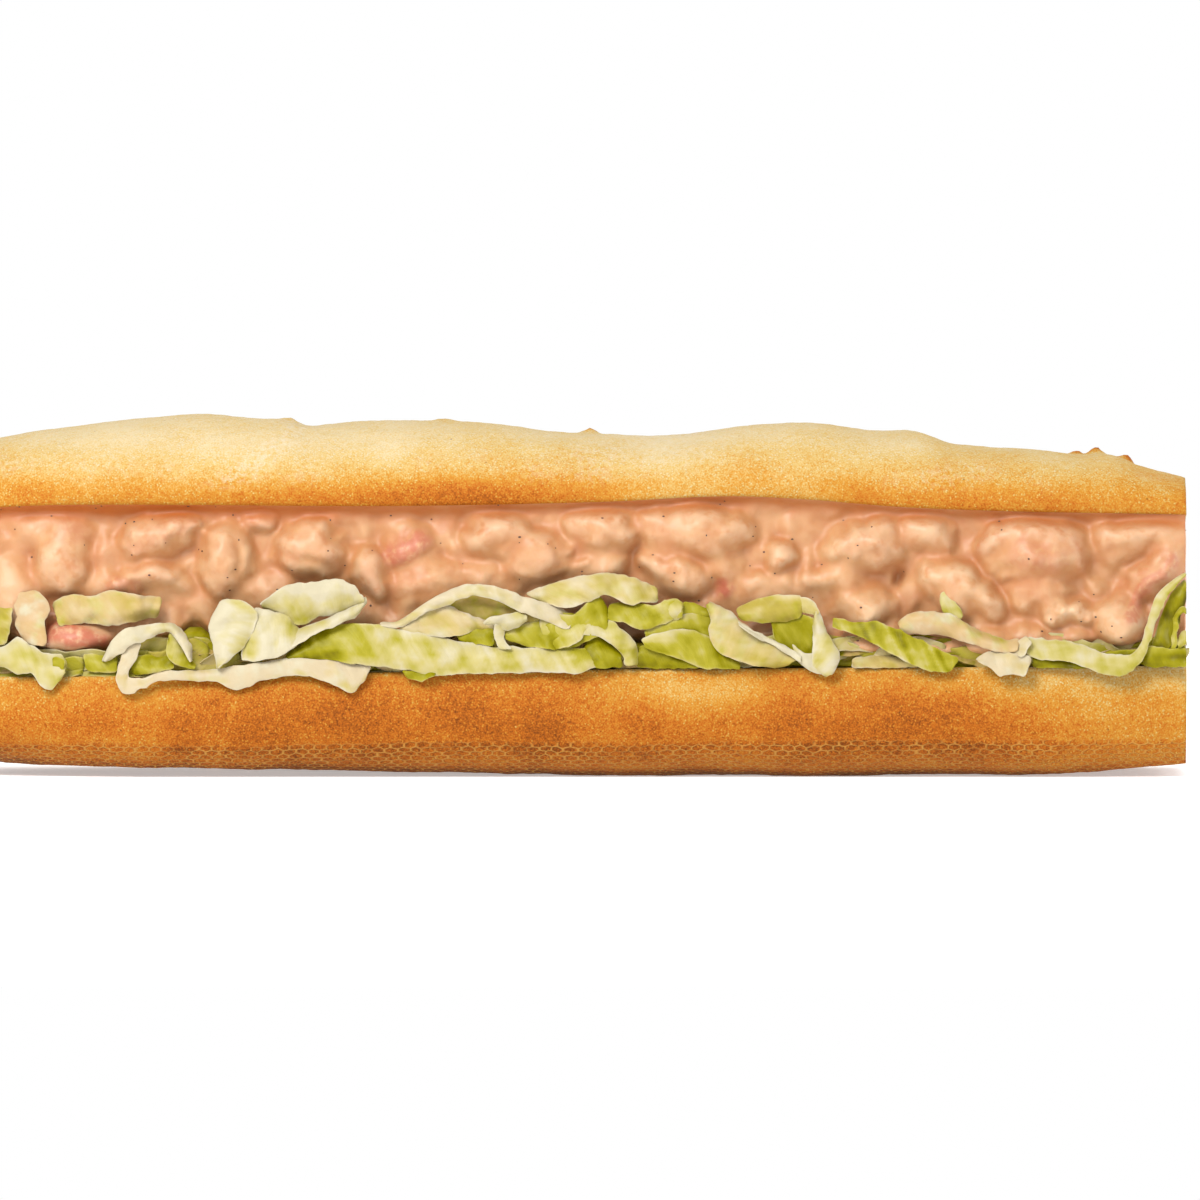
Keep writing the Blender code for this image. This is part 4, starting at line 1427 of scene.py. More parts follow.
    def _coated(self, heights: np.ndarray, times: int) -> np.ndarray:
        """Evens a grid of heights out, as a coat of sauce does.

        Args:
            heights: the grid.
            times: how often it is evened.

        Returns:
            The evened grid.
        """
        for _ in range(times):
            for axis in (0, 1):
                edge = [(1, 1) if axis == i else (0, 0) for i in range(2)]
                wide = np.pad(heights, edge, mode="edge")
                before, after = (wide[:-2], wide[2:]) if axis == 0 else (wide[:, :-2], wide[:, 2:])
                heights = 0.25 * before + 0.5 * heights + 0.25 * after
        return heights

    def _back_masses(self) -> tuple[Mass, ...]:
        """Rounded bodies along the back, in two rows by rule.

        Returns:
            The bodies from the heel to the cut.
        """
        draw = random.Random(self.seed + 1)
        made, along = [], FILLING_TIP + 6
        while along < CUT_END:
            for up in (37.0, 44.6):
                size = draw.uniform(4.6, 8.0)
                spot = (along + draw.uniform(-3, 3), up + draw.uniform(-1.6, 1.6), size, size * draw.uniform(0.5, 0.9))
                made.append(Mass(*spot, draw.uniform(3.6, 6.2), draw.uniform(-35, 35)))
            along += draw.uniform(8.0, 13.0)
        return tuple(made)

    def _back_lumps(self) -> tuple[Lump, ...]:
        """Prawns along the back, spread evenly by rule.

        Returns:
            The prawns from the heel to the cut.
        """
        draw = random.Random(self.seed)
        made, along = [], FILLING_TIP + 4
        while along < CUT_END - 2:
            low, high = float(self.low(along)), float(self.loaf.ceiling(along, -self.front))
            for level in (0.3, 0.72):
                up = low + (high - low) * (level + draw.uniform(-0.1, 0.1))
                long, turn = draw.uniform(2.0, 5.5), draw.uniform(-0.9, 0.9)
                here = along + draw.uniform(-2, 2)
                bow = draw.uniform(-1.6, 1.6)
                reach, climb = long * math.cos(turn), long * math.sin(turn) * 0.5
                line = (here - reach, up - climb, here, up + bow, here + reach, up + climb)
                girth = draw.uniform(2.2, 3.6)
                rough, rings = draw.choice((0.0, 0.0, 0.4)), draw.choice((0.0, 4.0))
                proud, blush = draw.uniform(3.8, 6.0), draw.choice((0.0, 0.1, 0.3))
                made.append(Lump(line, (girth, girth * 1.15, girth * 0.8), proud, blush, rough, rings))
            along += draw.uniform(7.0, 11.0)
        return tuple(made)

    def _capped(self, rings: np.ndarray, values: dict[str, np.ndarray]) -> Surface:
        """Closes the rings with a point at the heel and a flat cut at the far end.

        Args:
            rings: the heap's points by ring and place in the ring.
            values: grids of values by name.

        Returns:
            The closed body.
        """
        cap = shrinking(rings[-1], self.cap_rings)
        cap[..., 0] = rings[-1, :, 0]
        surface = tube(np.concatenate([rings, cap]))
        quiet = np.zeros(cap.shape[:2])
        for key, grid in values.items():
            surface.values[key] = np.concatenate([grid.ravel(), quiet.ravel(), [0.0, 0.0]])
        return surface


def cut_square(made: bpy.types.Object, along: float) -> None:
    """Cuts a closed body off flat across the loaf and fills the cut.

    Args:
        made: the object to cut.
        along: where to cut.
    """
    shape = bmesh.new()
    shape.from_mesh(made.data)
    everything = shape.verts[:] + shape.edges[:] + shape.faces[:]
    plane = Vector(((along - MIDDLE) * MM, 0, 0))
    cut = bmesh.ops.bisect_plane(shape, geom=everything, plane_co=plane, plane_no=(1, 0, 0), clear_outer=True)
    edges = [item for item in cut["geom_cut"] if isinstance(item, bmesh.types.BMEdge)]
    for face in bmesh.ops.holes_fill(shape, edges=edges, sides=0)["faces"]:
        face.smooth = False
    bmesh.ops.recalc_face_normals(shape, faces=shape.faces)
    shape.to_mesh(made.data)
    shape.free()


# The lettuce ----------------------------------------------------------------------------


def leaf_body(
    middle: np.ndarray, lift: np.ndarray, side: np.ndarray, tints: np.ndarray, uv: tuple[np.ndarray, np.ndarray]
) -> Surface:
    """Makes a thin closed leaf from its middle sheet.

    Args:
        middle: the sheet's points by step along and place across.
        lift: half the thickness at each point, as a vector.
        side: -1 at one edge to 1 at the other.
        tints: how green each point is.
        uv: each point's distance along and across, for the UV map.

    Returns:
        The leaf, with its tint and its rim, where the material paints a highlight.
    """
    grids = np.broadcast_arrays(tints, np.abs(side) ** 10, *uv)
    tints, rim, *uv = (np.concatenate([grid, grid[:, ::-1]], axis=1) for grid in grids)
    surface = tube(np.concatenate([middle + lift, (middle - lift)[:, ::-1]], axis=1))
    surface.values = {"tint": tints.ravel(), "rim": np.append(rim, [1.0, 1.0])}
    uv = np.stack(uv, -1)
    surface.uv = np.concatenate([uv.reshape(-1, 2), uv[0, :1], uv[-1, :1]])
    return surface


@dataclass(frozen=True)
class Shred:
    """A strip of lettuce: the line it follows, how wide it is and how it turns and cups."""

    line: tuple[tuple[float, float, float], ...]
    width: tuple[float, ...]
    tint: float
    roll: tuple[float, ...] = (0.0,)
    cup: float = 0.0
    ruffle: float = 0.5
    sauced: float = 0.0
    steps: int = 52
    thick: float = 1.0
    across: int = 9
    half_thick: float = 0.16

    def surface(self, noise: Noise) -> Surface:
        """Makes the strip as a thin closed body.

        Args:
            noise: what makes it uneven.

        Returns:
            The strip, with its values for the leaf material.
        """
        t = np.linspace(0, 1, self.steps)
        along, up, out = smooth_line(self.line, t)
        spine = place(along, out, up)
        ahead = unit(np.gradient(spine, axis=0))
        flat = unit(np.array([0.0, 0.0, 1.0]) - ahead[:, 2:] * ahead)
        facing = np.cross(ahead, flat)
        roll = np.radians(evenly(self.roll, t))
        wide = flat * np.cos(roll)[:, None] + facing * np.sin(roll)[:, None]
        normal = np.cross(ahead, wide)
        width = evenly(self.width, t) * (1 - 0.55 * np.abs(2 * t - 1) ** 9)
        v = np.sin(math.pi / 2 * np.linspace(-1, 1, self.across))
        bend = self.cup * (v**2 - 0.4)
        length = run_length(spine)
        own = (self.line[0][0] * 3.1, self.tint * 9)
        seed_spot = np.stack([length, *(np.full(self.steps, value) for value in own)], axis=1)
        wave = noise.soft(seed_spot, 4.2, 2)[:, None] * np.abs(v) ** 1.5 * np.sign(v) * self.ruffle
        wave = wave + noise.soft(seed_spot + 50, 6.0)[:, None] * 0.5 * self.ruffle
        ragged = 1 + 0.1 * noise.soft(seed_spot + 90, 1.6)[:, None]
        middle = spine[:, None] + wide[:, None] * (width[:, None] / 2 * v * ragged)[..., None]
        middle = middle + normal[:, None] * (bend[None, :] * width[:, None] / 5 + wave)[..., None]
        rib = 0.5 * bump(v, 0.0, 0.35) if self.tint < 0.3 else 0.1 * np.ones(self.across)
        thick = (self.half_thick + self.half_thick * rib)[None, :, None] * self.thick
        tints = self.tint + 0.1 * np.abs(v)[None, :] ** 2 + 0.1 * noise.soft(seed_spot + 20, 9.0)[:, None]
        surface = leaf_body(middle, normal[:, None] * thick, v, tints, (length[:, None], v[None, :] * width[:, None]))
        surface.values["tint"] = np.append(surface.values["tint"], [self.tint, self.tint])
        surface.values["sauced"] = np.full(len(surface.points), self.sauced)
        return surface


@dataclass(frozen=True)
class Strip:
    """A strip of leaf drawn by its two long edges, as it shows from the front.

    Each edge is a run of along, up pairs, and out is how far it stands out along the strip.
    Tint runs from 0, white, to 1, dark green. Deepen adds green from the first edge to the
    second, stripes adds it in bands, and greener adds it at the start and at the end. Bulge
    and tilt are in millimetres. Inset sets the whole strip back, and tuck_under what lies
    higher than the bread's rim.
    """

    upper: tuple[float, ...]
    lower: tuple[float, ...]
    out: tuple[float, ...]
    tint: float
    deepen: float = 0.0
    bulge: float = 0.5
    tilt: float = 0.5
    sauced: float = 0.0
    stripes: float = 0.0
    ruffle: float = 0.6
    greener: tuple[float, float] = (0.0, 0.0)
    across: int = 13
    steps_per_mm: float = 2.6
    half_thick: float = 0.14
    edge_thinner: float = 0.05
    inset: float = 0.3
    tuck_under: float = 1.0

    def surface(self, noise: Noise) -> Surface:
        """Makes the strip as a thin closed body.

        Args:
            noise: what makes it uneven.

        Returns:
            The strip, with its values for the leaf material.
        """
        edges = [np.reshape(edge, (-1, 2)).astype(float) for edge in (self.upper, self.lower)]
        long = sum(math.dist(a, b) for a, b in zip(edges[0], edges[0][1:]))
        steps = int(min(max(long * self.steps_per_mm, 22), 120))
        trim = 0.12 / max(long, 1.0)
        t = np.concatenate([[0], np.linspace(trim, 1 - trim, steps - 2), [1]])
        v = 0.5 - 0.5 * np.cos(math.pi * np.linspace(0, 1, self.across))[None, :]
        upper, lower = ([column[:, None] for column in smooth_line(edge, t)] for edge in edges)
        along, up = (upper[i] * (1 - v) + lower[i] * v for i in range(2))
        out = evenly(self.out, t)[:, None] + self.tilt * (v - 0.5)
        spot = place(along * 0.9, np.full_like(along, self.tint * 40), up * 0.9)
        side = 2 * v - 1
        wave = 2.6 * noise.soft(spot, 7.5, 1) * (0.5 + 0.5 * np.abs(side)) + 1.0 * noise.soft(spot + 30, 3.2, 2)
        swing = noise.soft(place(along * 0.6, 0 * up, 0 * up + 7 * self.tint), 6.0)
        out = out + self.bulge * (1 - side**2) + self.ruffle * (wave + 1.2 * swing * side)
        out = out - self.inset - self.tuck_under * ease(up, 23.0, 30.0) - 32.0 * (1 - heel_share(along, HEEL_TIP))
        jitter = 0.34 * noise.soft(spot + 60, 2.0, 2) * np.abs(side) ** 6
        up, along = up - side * jitter, along + jitter
        tip = np.clip(1 - np.minimum(t, 1 - t) * max(long, 1.0) / 0.7, 0, 1)[:, None]
        slim = 1 - 0.4 * (1 - np.sqrt(1 - np.minimum(tip, 0.999) ** 2))
        middle = [grid.mean(axis=1, keepdims=True) for grid in (along, up)]
        along, up = middle[0] + (along - middle[0]) * slim, middle[1] + (up - middle[1]) * slim
        spine = place(along, out, up)
        normal = unit(np.cross(np.gradient(spine, axis=0), np.gradient(spine, axis=1)))
        thick = self.half_thick - self.edge_thinner * np.abs(side[..., None]) ** 4
        tints = self.tint + self.deepen * v + 0.14 * noise.soft(spot + 90, 7.0)
        tints = tints + 0.16 * side * noise.soft(spot + 140, 9.0)
        tints = tints + 0.1 * noise.soft(place(along * 0.3, 0 * up + self.tint * 90, up), 1.4, 2)
        if self.stripes:
            bands = noise.soft(place(along + up * 0.5, 0 * up, up * 0.06), 1.7, 2)
            tints = tints + 0.26 * self.stripes * bands
        # Paler where the strip bulges out and greener where it dips: painted light and shade that follow the ruffles.
        tints = tints - 0.13 * np.tanh(wave - wave.mean(axis=1, keepdims=True)) - 0.05 * np.tanh(wave)
        start, end = (1 - ease(t, 0.12, 0.36))[:, None], ease(t, 0.8, 0.95)[:, None]
        tints = tints + self.greener[0] * start + self.greener[1] * end
        length = run_length(spine[:, self.across // 2])
        width = np.linalg.norm(spine[:, 0] - spine[:, -1], axis=-1)[:, None]
        surface = leaf_body(spine, normal * thick, side, tints, (length[:, None], v * width))
        surface.values["tint"] = np.append(surface.values["tint"], [self.tint, self.tint])
        surface.values["sauced"] = np.full(len(surface.points), self.sauced)
        return surface


# Drawn along the front: upper edge, lower edge, out, tint, deepen, bulge, tilt, sauced, stripes,
# ruffle, greener.
FRONT_STRIPS = tuple(Strip(*row) for row in (
    ((-7, 26.4, 0, 26.2, 3.6, 28.2, 6.2, 26.5, 10.1, 24.8, 12.3, 24.8, 13.4, 23.1), (-7, 22.4, 0, 22.2, 3.4,
     20.9, 6.4, 20.9, 8.1, 18.6, 10.4, 17.9, 12.8, 20.6), (32.2, 32.8, 33.4, 33.8, 33.8), 0.18, 0.2),
    ((10.5, 24.5, 12.2, 24, 13.1, 23.4), (10.6, 21.8, 11.8, 21.8, 12.6, 21.6), (33.9, 34.1), 0.56, 0, 0.1,
     0.2),
    ((2.4, 36.8, 3.2, 33, 3, 30.2, 5, 26.8), (7.4, 37.6, 9.8, 34.6, 9, 30.8, 9.4, 26.4), (30.2, 31.6, 32.2,
     32.4), 0.12, 0, 0.8, 0.4, 0.9),
    ((-4, 37.2, -4, 33, -4, 27), (1.8, 36.4, 2.4, 32, 1.2, 26.4), (30.4, 30.8, 31.2), 0.5, 0, 0.6, 0.4,
     0.25),
    ((10.4, 35.2, 14, 36.8, 18.2, 36.4, 22.1, 37.7, 28.3, 36.6, 32.5, 36.4), (11.8, 30.1, 15.7, 31, 19.6,
     30.7, 23.8, 30.7, 27.7, 31.6, 31.4, 32), (31.2, 32.2, 32, 32.2, 31.4), 0.3, 0.05, 0.6, 0.6, 0.6, 0.15,
     0.9),
    ((16.5, 25, 20, 25.2, 23.5, 24.8), (17.2, 21.6, 20.5, 21.2, 23.3, 21.4), (31.4, 31.6), 0.5),
    ((20.4, 23.6, 22.1, 27.3, 25.2, 30.1, 29.4, 30.8, 33.9, 31.2, 36.4, 29.6, 38.1, 27, 38.4, 23.6), (21.3,
     23.4, 23.8, 24.8, 26.6, 26.9, 29.4, 28, 33.3, 29.5, 35, 28.2, 36.4, 26.2, 38, 23.4), (33.2, 33.8, 33.6,
     33.6, 33.4, 33.4), 0.04, 0.06, 0.5, 0.9, 0.1),
    ((34, 29.4, 35.6, 27.5, 37.2, 25, 39.2, 22.6), (33.3, 27, 33.3, 24.8, 35.3, 22.8, 38.9, 22), (32.7, 33),
     0.46, 0.1, 0.4),
    ((26.4, 24.4, 30, 24.8, 34.7, 24.8), (26.3, 21, 30, 20.9, 34.7, 22), (31.8, 32), 0.58, 0.1),
    ((28.3, 27.3, 27.5, 24.4, 25.8, 21.7, 26.2, 20.3, 28.9, 20.3, 32.5, 21.5, 40, 21.7, 44, 22.1, 49.8, 23,
     55.7, 24, 59.6, 24.1, 66.6, 23.9, 71.5, 23.2, 74.2, 22.5), (25, 26.6, 23.8, 22.5, 23.3, 19.6, 25, 16.9,
     28.4, 18, 32, 19.7, 39.6, 19.6, 43.1, 19.5, 47.3, 17.9, 53.5, 20, 60.7, 20.7, 66.9, 18.7, 70.3, 17.3,
     72.8, 19.6), (33, 33.6, 33.8, 33.6, 33.4, 33.4, 33.6, 33.4), 0, 0.02, 0.25, 0.5, 0.35, 0, 0.25),
    ((44.2, 36, 42.1, 31.6, 42, 28.6, 42.8, 26, 43.5, 22.2), (48.6, 35.8, 51.4, 33.4, 51.3, 30.6, 49, 26.6,
     43.9, 22.2), (32.6, 33.4, 34, 34, 33.6), 0.14, 0.04, 0.7, 1),
    ((50.2, 34.4, 56.8, 33, 59.4, 30.6, 60.6, 28), (48, 23.7, 51.6, 23.5, 57.4, 25.1, 60.4, 27.6), (32.8,
     33.2, 33.4), 0.16, 0.1, 1, 0.2),
    ((52, 35.2, 57.4, 38.9, 61.8, 39.4, 66.9, 40.1, 70.5, 38.8, 73, 35.9), (52.6, 34, 56.8, 32.5, 59.6,
     30.6, 63.2, 32, 68, 33.1, 72.6, 34.8), (32.6, 33.8, 34, 34, 33.6), 0.1, 0.22, 0.6, -2.6),
    ((58.4, 29.6, 63.8, 31.4, 68, 33.3, 71.9, 35.2, 73.2, 36.6), (55.4, 24.3, 60.7, 27.7, 65.2, 30, 70.8,
     32.3, 73.4, 35.2), (33.4, 34, 34.2, 34, 33.4), 0.12, 0.04, 0.6, 0.5),
    ((56.8, 24.4, 61, 28, 65.2, 30.4, 73.6, 31.2, 80, 29.8, 85.6, 29, 91.8, 27.7, 96.8, 26.6, 103.8, 26.3,
     110.8, 26.2, 116.4, 26.1, 119.8, 27.2), (57.9, 24, 61.3, 23.8, 66.6, 23.6, 73.9, 22.6, 80, 22, 85.6,
     20.9, 91.8, 20.9, 96.8, 21, 103.8, 21.3, 110.8, 21.3, 115.8, 21.2, 119.8, 22.9), (32.6, 33, 33.4, 33.2,
     33, 33.2, 33, 32.8), 0.26, 0, 0.6, 0.7, 0, 0.4, 0.3, (0.48, 0.3)),
    ((76, 31.2, 80, 31.7, 84.2, 34.6, 89, 37.4, 94, 38.9, 98.2, 38.9, 103.8, 36.8, 109.4, 35.2, 115, 32.6),
     (76, 30.4, 80, 30.4, 84.8, 33, 89.5, 34.8, 94, 36.6, 98.2, 36.2, 103.3, 33.8, 109, 31.6, 113.8, 29.6),
     (32.4, 33, 33.6, 33.8, 33.6, 33.4), 0.08, 0.1, 0.4, 0.7, 0.2),
    ((80, 30.8, 84.2, 33, 89, 34.6, 92.6, 33.2, 96.8, 31.8, 99.6, 31.4), (80, 29.4, 85.6, 28.6, 91.2, 28.4,
     95.4, 29.8, 97.9, 29.6, 99.6, 29.3), (32.4, 32.8, 32.4), 0.24, 0.1, 0.5, 0.6, 0.4),
    ((88.6, 34.6, 94, 36.8, 99.4, 36.4, 104, 34, 108.8, 31.8), (90, 32.8, 94, 31.6, 99, 31, 104, 30.8,
     108.4, 30), (31.4, 31.2, 31.6), 0.5, 0.1, 0.3, 0.5, 0.6),
    ((96.5, 31.2, 98.2, 32.6, 101.3, 32.9, 104.1, 33.4, 105.4, 32.6), (97.4, 30.8, 99.3, 30.8, 101, 29.8,
     103.2, 30.3, 105.4, 31.5), (33.8, 34.2, 34.2), 0.2, 0, 0.2, -0.4),
    ((98.9, 31.4, 98.6, 29, 99.3, 27, 100, 26), (101.3, 30.3, 100.9, 29, 101.3, 27.3, 102.5, 26), (34, 33.8,
     33.6), 0.22, 0, 0.3, 0.3),
    ((91, 29.2, 95, 30.6, 98.8, 30), (92.2, 27.4, 95.6, 26.8, 98.8, 26.6), (32.2, 32.4), 0.62, 0.1),
    ((100.7, 29.3, 103, 30.6, 108, 31.7, 111.8, 33.1, 115, 33.1, 118.1, 35.9, 120.4, 36.4, 121.8, 33.4),
     (101.3, 27.7, 105.2, 26.6, 108, 26.2, 110.8, 26, 114.2, 26, 117.2, 27.4, 119.9, 28.5, 121.4, 30.4),
     (32.2, 32.6, 33, 33.4, 33), 0.56, 0.1, 0.6, 0.9, 0, 0.3, 0.6),
    ((107.6, 31.8, 111.6, 33.4, 115.6, 33, 118.4, 31.6), (109.4, 26.2, 112.4, 26, 115.4, 27.2, 117, 29.8),
     (33, 33.6, 33.4), 0.36, 0.1, 0.6, 0.3, 0, 0.3),
    ((117.4, 33.4, 120, 32.4, 123.4, 30.9, 126.2, 28.4, 127.4, 25.6, 127.8, 22.9), (116.4, 28.6, 119.4,
     28.6, 122, 27.2, 123.8, 25.6, 124.8, 24.2, 125, 22.6), (33.2, 33.6, 33.8, 33.6, 33), 0.34, 0.12, 0.6,
     0.4, 0, 0.25),
    ((117, 27.4, 119.2, 29, 121.4, 27.8, 124, 26), (116.4, 22.6, 119.4, 22.2, 121.8, 22.2, 124.4, 22.4),
     (32.4, 33, 32.8), 0.6, 0.1, 0.8),
    ((105, 37, 109.4, 38.8, 114.4, 40.2, 120, 41, 125.6, 40.5, 131.4, 38.3), (107.2, 35.8, 113, 34.2, 118,
     35.6, 121.6, 36.8, 125.6, 35, 131.6, 35.4), (32.2, 33, 33.2, 32.8, 32.2), 0.28, 0.04, 0.4, 0.8, 0.25,
     0, 0.5),
    ((121.7, 34.8, 124.8, 35.2, 128.4, 34.8, 131.8, 35.1, 133.4, 35.9, 136.7, 35.4), (121.5, 31.6, 124.8,
     31.2, 128.1, 29.8, 131.2, 30.4, 134, 31.6, 136.4, 32.2), (32.6, 33.2, 32.8, 33.2), 0.48, 0.12, 0.5,
     0.6, 0, 0.15, 0.7),
    ((133, 35.7, 134.6, 36, 136.7, 35.3), (134.3, 31.9, 135.2, 31.9, 135.9, 32.4), (33.8, 34), 0.36, 0, 0.2,
     0.2, 0, 0, 0.6),
    ((136.3, 35.2, 139.5, 34.9, 142.2, 33.8), (136.6, 32.6, 139.5, 32.2, 142, 31.8), (31.8, 31.8), 0.56,
     0.1),
    ((129, 29.8, 132.6, 31.4, 137.4, 33.1, 142.2, 33.1), (129.2, 28, 133.4, 29, 137.9, 29.2, 142.2, 28.2),
     (33.2, 33, 32.6), 0.52, 0.08, 0.1, 0.9, 0, 0.6, 0.3),
    ((128.2, 28.1, 132.6, 29.5, 137.4, 29.8, 141.8, 28.4, 144.3, 25.8, 148, 23.1), (129.3, 26, 134, 24.6,
     137.9, 23.2, 140.7, 22.1, 144.1, 22, 148, 21.9), (33.8, 33.8, 33.6, 33.2, 32.8), 0.54, 0.06, 0.3, 0.2,
     0, 0.2, 0.3),
    ((127.6, 26.4, 131, 26.6, 135, 25.4, 139.4, 23.6), (127.2, 22.4, 131, 22.1, 135, 22.1, 139.8, 22), (32,
     32.4, 32.2), 0.68, 0.1),
    ((142, 35.3, 145.2, 34.2, 147.7, 32.2, 150.8, 29.6, 154.7, 27.8, 157.8, 26, 160.2, 24.4), (141.2, 34.8,
     142.1, 31.8, 142, 29, 143.2, 25.9, 146.6, 23.9, 150.8, 22.7, 156.4, 22.1), (34, 34.2, 34, 33.8, 33.4,
     33), 0.2, 0.26, 0.9, 0.2, 0.35),
    ((147.6, 31.6, 150.8, 29.6, 154.7, 27.9, 160.2, 24.8), (148, 30.6, 151, 28.5, 154.7, 26.7, 160.2, 23.2),
     (34.4, 34.5, 34.2), 0.02, 0, 0.2, 0.2),
    ((147.2, 34, 150.8, 35.6, 155.3, 36.8, 160.4, 36.4), (147.8, 32, 151.4, 31.2, 155.8, 31.2, 160.4, 32.4),
     (32.2, 33, 32.8), 0.46, 0.12, 0.5, 0.6, 0.3),
    ((154, 33, 158.4, 33.2, 163.2, 32.4), (155, 27.4, 159.2, 24.8, 162.8, 25.2), (31.8, 32.2, 32.4), 0.6,
     0.15, 0.2, 0.4, 0, 0.3),
    ((157.6, 35.6, 160, 36.3, 162.4, 35.6, 163.8, 33.4), (157.8, 33.2, 160, 33.2, 162.4, 33, 163.5, 32.6),
     (33, 33.6, 34), 0.3, 0.2, 0.3, -0.6, 0.2),
    ((163.3, 34, 165.6, 29.5, 168, 24.9, 166.8, 21.2), (162.7, 32, 162.6, 26.4, 162.3, 22.8, 165, 20.5),
     (34, 34.3, 34.3, 34), 0.22, 0.08, 0.4, -0.4),
    ((158.4, 27.4, 161, 25.3, 163.2, 25), (159.4, 23.6, 162, 21.8, 165, 20.8), (33.6, 34), 0.2, 0, 0.3,
     0.3),
    ((166.8, 32.4, 170.6, 31.4, 175.4, 31.4, 179, 30.2, 182.4, 28.6, 188, 25.8, 191.9, 24.1), (166.4, 30.2,
     169.4, 29.4, 173, 28, 177, 25.8, 182.4, 22.9, 187, 21.3, 190.2, 21.6), (32, 33.2, 34, 34.2, 34, 33.6),
     0.54, 0, 0.15, 0.5, 0, 1.1, 0.15),
    ((179.6, 31.4, 182.4, 33.2, 186.6, 33.4, 190.8, 32.6, 195, 30, 200, 28.1, 204, 27.8), (180.2, 29.4,
     183.8, 28.8, 188, 28.8, 192.2, 27.7, 196.4, 26.3, 200, 25.4, 203.4, 25.2), (32.4, 33.4, 33.8, 33.8,
     33.4), 0.22, 0, 0.8, 0.4, 0.8),
    ((187.8, 36, 188.7, 37.5, 190.5, 36, 192.7, 32.9), (188.7, 33.3, 189.3, 32.7, 190.5, 32.5, 192.2, 32),
     (33.4, 33.8), 0.46, 0, 0.2),
    ((195.2, 24.1, 197.5, 25.5, 200, 25.3, 203, 25.2, 206.4, 24.3), (195.8, 23.4, 198.2, 22.1, 200, 20.6,
     202.8, 20.9, 205, 20.5), (33.8, 34.2, 34.2), 0.1, 0, 0.3, 0.5, 0.35),
    ((201.5, 25.2, 203.2, 27.2, 205.2, 28.6), (204.6, 24.2, 205.6, 26, 206.2, 27.6), (33.4, 33.6), 0.16, 0,
     0.4, 0.3, 0.3),
    ((205.1, 28.4, 209.8, 27.9, 214.8, 27.4, 219.6, 25.5, 223, 24.9, 226.2, 25, 228.3, 27.3, 229.4, 31,
     230.2, 34, 231.6, 37.1, 234.4, 39.6, 237.2, 41.4), (205.4, 24.6, 209.2, 23.7, 213.6, 23.4, 217.4, 22.2,
     221.3, 20.9, 225.2, 20.9, 228.4, 24, 230.1, 27.9, 231.3, 31.4, 232.6, 34.9, 234.8, 38.2, 237.2, 40.7),
     (33.4, 33.8, 34.2, 34.4, 34.3, 34.2, 34, 33.4), 0.3, 0, 0.3, 0.6, 0, 0.25, 0.15),
    ((237.2, 40.2, 234.6, 37.4, 232.8, 34, 231, 28.6, 229.6, 25.4), (237.3, 35.6, 236.3, 32.8, 235, 29.4,
     233.4, 25.4, 231, 23), (32.4, 32, 32.2), 0.62, 0.2, 0.4, 0.6, 0, 0.3),
    ((233.8, 26, 234.2, 30.2, 234.9, 32.7, 236.2, 34.3, 237.3, 34), (235, 25.4, 235.5, 29.6, 235.7, 31.8,
     236.6, 33.2, 237.3, 32.8), (33.2, 33.6, 33.4), 0.5, 0.1, 0.1, 0.6),
    ((229.4, 26.8, 233, 26.2, 237.3, 26), (228.4, 22.5, 233, 22.4, 237.3, 22.4), (32.2, 32.6), 0.7, 0.1,
     0.3),
    ((235.4, 27.4, 236.4, 29.4, 237.3, 29.8), (235.8, 26, 236.6, 26.6, 237.3, 26.8), (33.4, 33.6), 0.5),
    ((206.6, 24.6, 211, 24.2, 217.6, 22.8), (206.6, 22.3, 211, 22.2, 217.2, 22.1), (32.4, 32.6), 0.78, 0.1),
    ((170.4, 24, 176, 24.6, 183.4, 23.8), (170.4, 22.2, 177, 22.2, 183.4, 22.2), (31.6, 32), 0.34, 0, 0.2,
     0.3, 0.5),
    ((80.4, 21.8, 84, 21.6, 87.4, 21.2), (81.4, 20.2, 84, 19.7, 86.6, 20.5), (33.2, 33.2), 0.6, 0, 0.3),
    ((218, 24.6, 223, 25.6, 228.4, 26), (218, 22.4, 223, 22.4, 228, 22.4), (32, 32.4), 0.74, 0.1),
    ((-22, 26, -16, 27.6, -9, 27, -4, 24.6), (-21.6, 22.4, -16, 21.6, -9.4, 21.4, -4.6, 21.6), (31.6, 32.6,
     33.4, 33.6), 0.4, 0.08, 0.6),
    ((-16, 33.4, -11, 34.6, -5, 33), (-15.4, 29.2, -11, 28.6, -5.4, 28), (30.6, 31.6, 32), 0.3, 0.08, 0.6),
))


